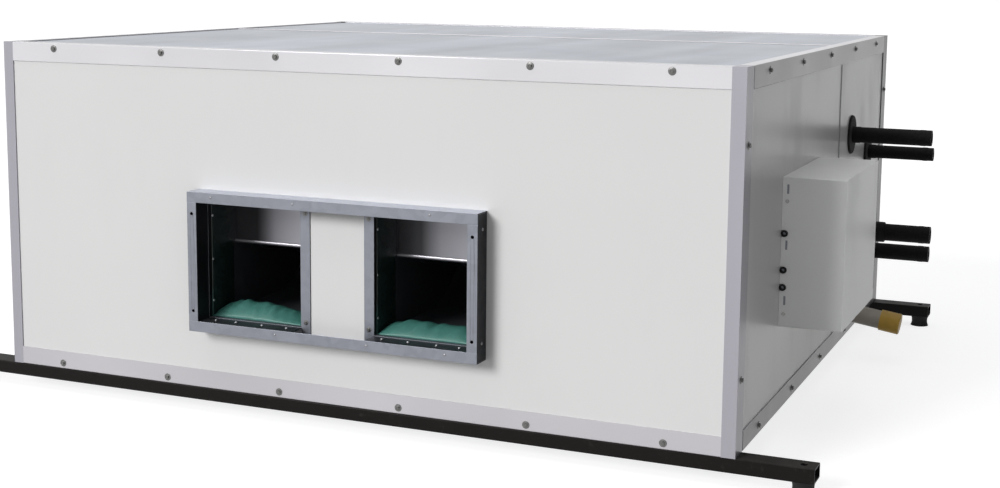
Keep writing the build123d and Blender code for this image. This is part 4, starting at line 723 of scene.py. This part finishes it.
class AIRCON_OT_canvas(bpy.types.Operator):
    """Hangs a slack canvas sleeve between each throat and its fan"""
    bl_idname = "aircon.canvas"
    bl_label = "Canvas"

    def execute(self, context):
        shape = context.scene.canvas_shape
        # Painted shadow: the canvas turns almost black from 34 mm above the sleeve's foot upward.
        cloth = coated_canvas("green_canvas", shape.colour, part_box("flex_connectors")[0].z + 34 * MM)
        sleeves = [self.sleeve(shape, cloth, side) for side in (-1, 1)]
        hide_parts("flex_connectors")
        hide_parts("flex_connectors")
        return {"FINISHED"}

    def sleeve(self, shape, cloth, side):
        """One sleeve. Its floor billows up, its walls and top hang in shallow folds."""
        low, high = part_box("flex_connectors")
        inner_x = 76.5 * MM
        left, right = sorted((side * inner_x, side * high.x))
        chance = random.Random(shape.seed + side)
        folds = [(chance.uniform(14, 60), chance.uniform(0, 6.28), chance.uniform(-2.5, 2.5), chance.uniform(0.3, 1))
                 for _ in range(9)]
        around = 220
        along = 30
        mesh = bmesh.new()
        rows = []
        width = right - left
        height = high.z - low.z
        perimeter = 2 * (width + height)
        for row in range(along + 1):
            share = row / along
            y = low.y + share * (high.y - low.y)
            slack = math.sin(math.pi * share) ** 0.75
            ring = []
            for column in range(around):
                run = perimeter * column / around
                place, inward, wall, position = self.on_outline(run, left, right, low.z, high.z)
                ripple = sum(depth * math.sin(turns * run * 6.28 + phase + lean * share * 4)
                             for turns, phase, lean, depth in folds) / 3
                swell = math.sin(math.pi * position) ** 0.4
                lean_over = 1.25 - 0.75 * position if side < 0 else 0.80 + 0.10 * math.sin(position * 9)
                rise = {"floor": shape.billow * lean_over, "top": shape.billow * 0.08}.get(wall, shape.billow * 0.10)
                crease = shape.wrinkle * (1.0 if wall == "floor" else 0.4)
                depth = slack * (swell * rise + crease * swell * (1 + ripple))
                ring.append(mesh.verts.new((place[0] + inward[0] * depth, y, place[1] + inward[1] * depth)))
            rows.append(ring)
        for near, far in zip(rows, rows[1:]):
            for column in range(around):
                following = (column + 1) % around
                mesh.faces.new((near[column], near[following], far[following], far[column]))
        area = sum(face.calc_area() for face in mesh.faces)
        name = "canvas_left" if side < 0 else "canvas_right"
        made = piece(name, mesh, cloth, "casing")
        thickness = made.modifiers.new("Thickness", "SOLIDIFY")
        thickness.thickness = 0.7 * MM
        thickness.offset = 0
        area / perimeter
        return made

    def on_outline(self, run, left, right, bottom, top):
        """A point on the sleeve's section: its place, its inward direction, its wall and its share of that wall."""
        width = right - left
        height = top - bottom
        if run < width:
            return (left + run, bottom), (0, 1), "floor", run / width
        run -= width
        if run < height:
            return (right, bottom + run), (-1, 0), "side", run / height
        run -= height
        if run < width:
            return (right - run, top), (0, -1), "top", run / width
        run -= width
        return (left, top - run), (1, 0), "side", min(1.0, run / height)


# Inside of the casing
class AIRCON_OT_fans(bpy.types.Operator):
    """Finishes the fan housings, wheels, shaft, bearings and stand"""
    bl_idname = "aircon.fans"
    bl_label = "Fans"

    def execute(self, context):
        look = context.scene.casing_look
        zinc = galvanised("fan_zinc", shade(look.zinc, 0.45), 60.0, 0.45)
        dress(zinc, "fan_housing_left", "fan_housing_right", "fan_stand", "bearing_brackets")
        dress(galvanised("wheel_zinc", shade(look.zinc, 0.5), 120.0, 0.45), "impeller_left", "impeller_right")
        dress(bare_metal("ground_steel", (0.55, 0.55, 0.56), 0.18), "fan_shaft", "motor_shaft")
        dress(enamelled("cast_enamel", (0.10, 0.11, 0.12)), "fan_bearings", "driven_pulley", "motor_pulley")
        return {"FINISHED"}


class AIRCON_OT_drive(bpy.types.Operator):
    """Finishes the motor, its slide rails and the belt"""
    bl_idname = "aircon.drive"
    bl_label = "Drive"

    def execute(self, context):
        look = context.scene.casing_look
        dress(enamelled("motor_enamel", (0.07, 0.10, 0.14)), "motor")
        dress(moulded("belt_rubber", (0.02, 0.02, 0.021), 0.7), "drive_belt")
        dress(galvanised("slide_zinc", look.zinc), "motor_rails")
        return {"FINISHED"}


class AIRCON_OT_coil(bpy.types.Operator):
    """Finishes the coil, its plates, headers and drain pan"""
    bl_idname = "aircon.coil"
    bl_label = "Coil"

    def execute(self, context):
        look = context.scene.casing_look
        dress(finned_face("coil_fins", (0.60, 0.61, 0.63)), "coil_block")
        dress(galvanised("coil_zinc", look.zinc), "coil_end_plates", "coil_baffles", "drain_pan")
        dress(bare_metal("drawn_copper", (0.62, 0.30, 0.17), 0.24), "coil_return_bends", "gas_headers",
              "liquid_headers")
        dress(lining_foam("support_foam", (0.04, 0.04, 0.042)), "drain_pan_supports")
        return {"FINISHED"}


# Right side: pipes, drain and control box
class AIRCON_OT_pipes(bpy.types.Operator):
    """Finishes the insulated lines and the drain, with tape bands and the thick collar"""
    bl_idname = "aircon.pipes"
    bl_label = "Pipes"

    def execute(self, context):
        foam = foam_rubber("black_foam")
        dress(foam, "pipe_sleeves")
        dress(moulded("rosette_rubber", (0.004, 0.0035, 0.0035), 0.85, dusty=0.02), "pipe_rosettes", "cable_grommets")
        dress(moulded("drain_plastic", (0.50, 0.46, 0.40), 0.42), "drain_pipe")
        dress(moulded("cap_plastic", (0.66, 0.41, 0.075), 0.45), "drain_cap")
        self.collars(foam)
        return {"FINISHED"}

    def collars(self, foam):
        """Tape bands where the foam leaves the casing, and a second layer on the lower thick line."""
        skin = CASING_HIGH.x + 3 * MM
        mesh = bmesh.new()
        for low, high in islands("pipe_sleeves"):
            radius = (high.y - low.y) / 2
            centre = (low + high) / 2
            start = Vector((skin, centre.y, centre.z))
            thick = radius > 18.2 * MM
            reach = 77 * MM if thick else 16 * MM
            rise = 3.6 * MM if thick else 0.9 * MM
            add_lathe(mesh, [(radius - 0.2 * MM, 0), (radius + rise * 0.9, 0.3 * MM), (radius + rise, 2 * MM),
                             (radius + rise, reach - 2 * MM), (radius + rise * 0.8, reach - 0.4 * MM),
                             (radius - 0.2 * MM, reach)], turned(start, (1, 0, 0)), 40)
            ring = Vector((high.x - 24 * MM, centre.y, centre.z))
            add_lathe(mesh, [(radius - 0.2 * MM, 0), (radius + 0.5 * MM, 0.3 * MM), (radius + 0.5 * MM, 11 * MM),
                             (radius - 0.2 * MM, 11.3 * MM)], turned(ring, (1, 0, 0)), 40)
        piece("foam_collars", mesh, foam, "casing")


class AIRCON_OT_control_box(bpy.types.Operator):
    """Finishes the control box, with its cover screws"""
    bl_idname = "aircon.control_box"
    bl_label = "Control box"

    def execute(self, context):
        look = context.scene.casing_look
        dress(painted_sheet("box_paint", look.cover), "control_box_cover", bevel=0.4 * MM)
        dress(galvanised("tray_zinc", look.zinc), "control_box_tray")
        dress(moulded("terminal_plastic", (0.03, 0.03, 0.032), 0.45), "terminal_block", "contactor")
        dress(moulded("board_resin", (0.02, 0.11, 0.05), 0.3), "control_board")
        self.cover_screws()
        return {"FINISHED"}

    def cover_screws(self):
        """Pan-head screws through the cover's front and rear walls into the tray."""
        low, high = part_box("control_box_cover")
        zinc = bare_metal("cover_screw_zinc", (0.40, 0.40, 0.39), 0.28)
        profile = [(3.6 * MM, 0), (3.5 * MM, 0.9 * MM), (2.6 * MM, 1.9 * MM), (1.1 * MM, 2.0 * MM), (0, 1.5 * MM)]
        mesh = bmesh.new()
        for wall_y, outward in ((low.y, -1), (high.y, 1)):
            for height in (low.z + 24 * MM, high.z - 44 * MM):
                place = Vector((low.x + 9 * MM, wall_y, height))
                add_lathe(mesh, profile, turned(place, (0, outward, 0)), 14)
        piece("cover_screws", mesh, zinc, "control_cover")


class AIRCON_OT_rails(bpy.types.Operator):
    """Finishes the support rails and their isolators"""
    bl_idname = "aircon.rails"
    bl_label = "Rails"

    def execute(self, context):
        dress(enamelled("rail_enamel", (0.006, 0.005, 0.0045), 0.25), "front_rail", "rear_rail", bevel=0.8 * MM)
        dress(moulded("isolator_rubber", (0.006, 0.006, 0.006), 0.7, dusty=0.05), "rail_isolators")
        return {"FINISHED"}


class AIRCON_OT_filters(bpy.types.Operator):
    """Finishes the filters and their channels"""
    bl_idname = "aircon.filters"
    bl_label = "Filters"

    def execute(self, context):
        look = context.scene.casing_look
        dress(galvanised("channel_zinc", look.zinc), "filter_channels", bevel=0.3 * MM)
        dress(bare_metal("filter_aluminium", (0.60, 0.61, 0.62), 0.3), "filter_frame_left", "filter_frame_right",
              bevel=0.6 * MM)
        dress(woven_net("filter_net", (0.10, 0.10, 0.11)), "filter_mesh_left", "filter_mesh_right")
        return {"FINISHED"}


# Studio
class AIRCON_OT_stage(bpy.types.Operator):
    """Lays the floor, and sets the lamps, the world and the camera"""
    bl_idname = "aircon.stage"
    bl_label = "Stage"

    def execute(self, context):
        look = context.scene.studio_look
        self.floor()
        self.flag()
        self.world(look)
        self.lamps(look)
        self.camera(look)
        context.scene.view_settings.view_transform = "Standard"
        return {"FINISHED"}

    def floor(self):
        """A wide pale floor that keeps the shadow and fades into the white around it."""
        mesh = bmesh.new()
        bmesh.ops.create_grid(mesh, x_segments=1, y_segments=1, size=40.0)
        data = bpy.data.meshes.new("studio_floor")
        mesh.to_mesh(data)
        mesh.free()
        ground = bpy.data.objects.new("studio_floor", data)
        bpy.context.scene.collection.objects.link(ground)
        shader = Shader("studio_floor")
        rays = shader.node("LightPath", output="Is Camera Ray")
        gloss = shader.node("LightPath", output="Is Glossy Ray")
        matt = shader.node("BsdfDiffuse", None, {"Color": (0.42, 0.42, 0.42, 1)})
        glow = shader.node("Emission", None, {"Color": (1, 1, 1, 1), "Strength": 0.78})
        lit = shader.node("AddShader", None, {0: matt, 1: glow})
        mixed = shader.node("MixShader", None, {0: rays + gloss, 1: matt, 2: lit})
        shader.node("OutputMaterial", None, {"Surface": mixed})
        data.materials.append(shader.material)

    def flag(self):
        """A black card beside the object that keeps light off its right side, unseen by the camera."""
        mesh = bmesh.new()
        corners = [(2.6, -2.2, 0.0), (2.6, 3.0, 0.0), (2.6, 3.0, 2.4), (2.6, -2.2, 2.4)]
        mesh.faces.new([mesh.verts.new(corner) for corner in corners])
        data = bpy.data.meshes.new("light_flag")
        mesh.to_mesh(data)
        mesh.free()
        card = bpy.data.objects.new("light_flag", data)
        bpy.context.scene.collection.objects.link(card)
        shader = Shader("light_flag")
        black = shader.node("BsdfDiffuse", None, {"Color": (0.01, 0.01, 0.01, 1)})
        shader.node("OutputMaterial", None, {"Surface": black})
        data.materials.append(shader.material)
        card.visible_camera = False
        card.visible_shadow = False

    def world(self, look):
        """Even light all round, white where the camera or a reflection sees it."""
        world = bpy.data.worlds.new("studio")
        bpy.context.scene.world = world
        world.use_nodes = True
        tree = world.node_tree
        tree.nodes.clear()
        path = tree.nodes.new("ShaderNodeLightPath")
        seen = tree.nodes.new("ShaderNodeMath")
        seen.operation = "MAXIMUM"
        mirrored = tree.nodes.new("ShaderNodeMath")
        mirrored.operation = "MAXIMUM"
        tree.links.new(path.outputs["Is Glossy Ray"], mirrored.inputs[0])
        tree.links.new(path.outputs["Is Transmission Ray"], mirrored.inputs[1])
        tree.links.new(path.outputs["Is Camera Ray"], seen.inputs[0])
        tree.links.new(mirrored.outputs[0], seen.inputs[1])
        room = tree.nodes.new("ShaderNodeBackground")
        room.inputs["Color"].default_value = (0.97, 0.98, 1.0, 1)
        room.inputs["Strength"].default_value = look.room
        white = tree.nodes.new("ShaderNodeBackground")
        white.inputs["Color"].default_value = (1, 1, 1, 1)
        white.inputs["Strength"].default_value = 1.0
        mixed = tree.nodes.new("ShaderNodeMixShader")
        tree.links.new(seen.outputs[0], mixed.inputs[0])
        tree.links.new(room.outputs[0], mixed.inputs[1])
        tree.links.new(white.outputs[0], mixed.inputs[2])
        output = tree.nodes.new("ShaderNodeOutputWorld")
        tree.links.new(mixed.outputs[0], output.inputs["Surface"])

    def lamps(self, look):
        """One broad key from the front left, and a weak fill from above."""
        for name, strength, spread, aim in (("key", look.key, 24, (0.42, 0.80, -0.42)),
                                            ("overhead", look.key * 0.22, 40, (0.1, 0.15, -1.0))):
            lamp = bpy.data.lights.new(name, "SUN")
            lamp.energy = strength
            lamp.angle = math.radians(spread)
            holder = bpy.data.objects.new(name, lamp)
            holder.rotation_euler = Vector(aim).to_track_quat("-Z", "Y").to_euler()
            bpy.context.scene.collection.objects.link(holder)

    def camera(self, look):
        """The viewpoint of the photograph: ahead of the front's right half, a little above the top."""
        yaw = math.radians(-23.012)
        pitch = math.radians(-8.042)
        roll = math.radians(0.540)
        ahead = Vector((math.sin(yaw) * math.cos(pitch), math.cos(yaw) * math.cos(pitch), math.sin(pitch)))
        level_right = Vector((math.cos(yaw), -math.sin(yaw), 0))
        level_up = level_right.cross(ahead)
        right = level_right * math.cos(roll) + level_up * math.sin(roll)
        up = level_up * math.cos(roll) - level_right * math.sin(roll)
        lens = bpy.data.cameras.new("photo_view")
        lens.lens = look.focal
        lens.sensor_width = 36.0
        lens.sensor_fit = "HORIZONTAL"
        lens.shift_y = -0.060
        lens.clip_end = 200.0
        holder = bpy.data.objects.new("photo_view", lens)
        turn = Matrix((right, up, -ahead)).transposed().to_4x4()
        holder.matrix_world = Matrix.Translation((1.3484, -3.1075, 0.8548)) @ turn
        bpy.context.scene.collection.objects.link(holder)
        bpy.context.scene.camera = holder


# Sidebar panel and registration
OPERATORS = (
    AIRCON_OT_casing,
    AIRCON_OT_screws,
    AIRCON_OT_outlet,
    AIRCON_OT_canvas,
    AIRCON_OT_fans,
    AIRCON_OT_drive,
    AIRCON_OT_coil,
    AIRCON_OT_pipes,
    AIRCON_OT_control_box,
    AIRCON_OT_rails,
    AIRCON_OT_filters,
    AIRCON_OT_stage,
)


class AIRCON_PT_panel(bpy.types.Panel):
    """Lists the pieces in the sidebar"""
    bl_idname = "AIRCON_PT_panel"
    bl_label = "Air Conditioner"
    bl_space_type = "VIEW_3D"
    bl_region_type = "UI"
    bl_category = "Air Conditioner"

    def draw(self, context):
        scene = context.scene
        for group in (scene.casing_look, scene.screw_size, scene.canvas_shape, scene.studio_look):
            for key in group.bl_rna.properties.keys():
                if key not in ("rna_type", "name"):
                    self.layout.prop(group, key)
        for operator in OPERATORS:
            self.layout.operator(operator.bl_idname)


GROUPS = {
    "casing_look": CasingLook,
    "screw_size": ScrewSize,
    "canvas_shape": CanvasShape,
    "studio_look": StudioLook,
}


def register():
    """Registers the settings, the operators and the panel."""
    for name, group in GROUPS.items():
        bpy.utils.register_class(group)
        setattr(bpy.types.Scene, name, PointerProperty(type=group))
    for operator in OPERATORS:
        bpy.utils.register_class(operator)
    bpy.utils.register_class(AIRCON_PT_panel)


def unregister():
    """Takes them out again."""
    bpy.utils.unregister_class(AIRCON_PT_panel)
    for operator in reversed(OPERATORS):
        bpy.utils.unregister_class(operator)
    for name, group in GROUPS.items():
        delattr(bpy.types.Scene, name)
        bpy.utils.unregister_class(group)


def main():
    """Registers the settings and builds every piece in order."""
    register()
    bpy.ops.aircon.casing()
    bpy.ops.aircon.screws()
    bpy.ops.aircon.outlet()
    bpy.ops.aircon.canvas()
    bpy.ops.aircon.fans()
    bpy.ops.aircon.drive()
    bpy.ops.aircon.coil()
    bpy.ops.aircon.pipes()
    bpy.ops.aircon.control_box()
    bpy.ops.aircon.rails()
    bpy.ops.aircon.filters()
    bpy.ops.aircon.stage()


if __name__ == "__main__":
    main()
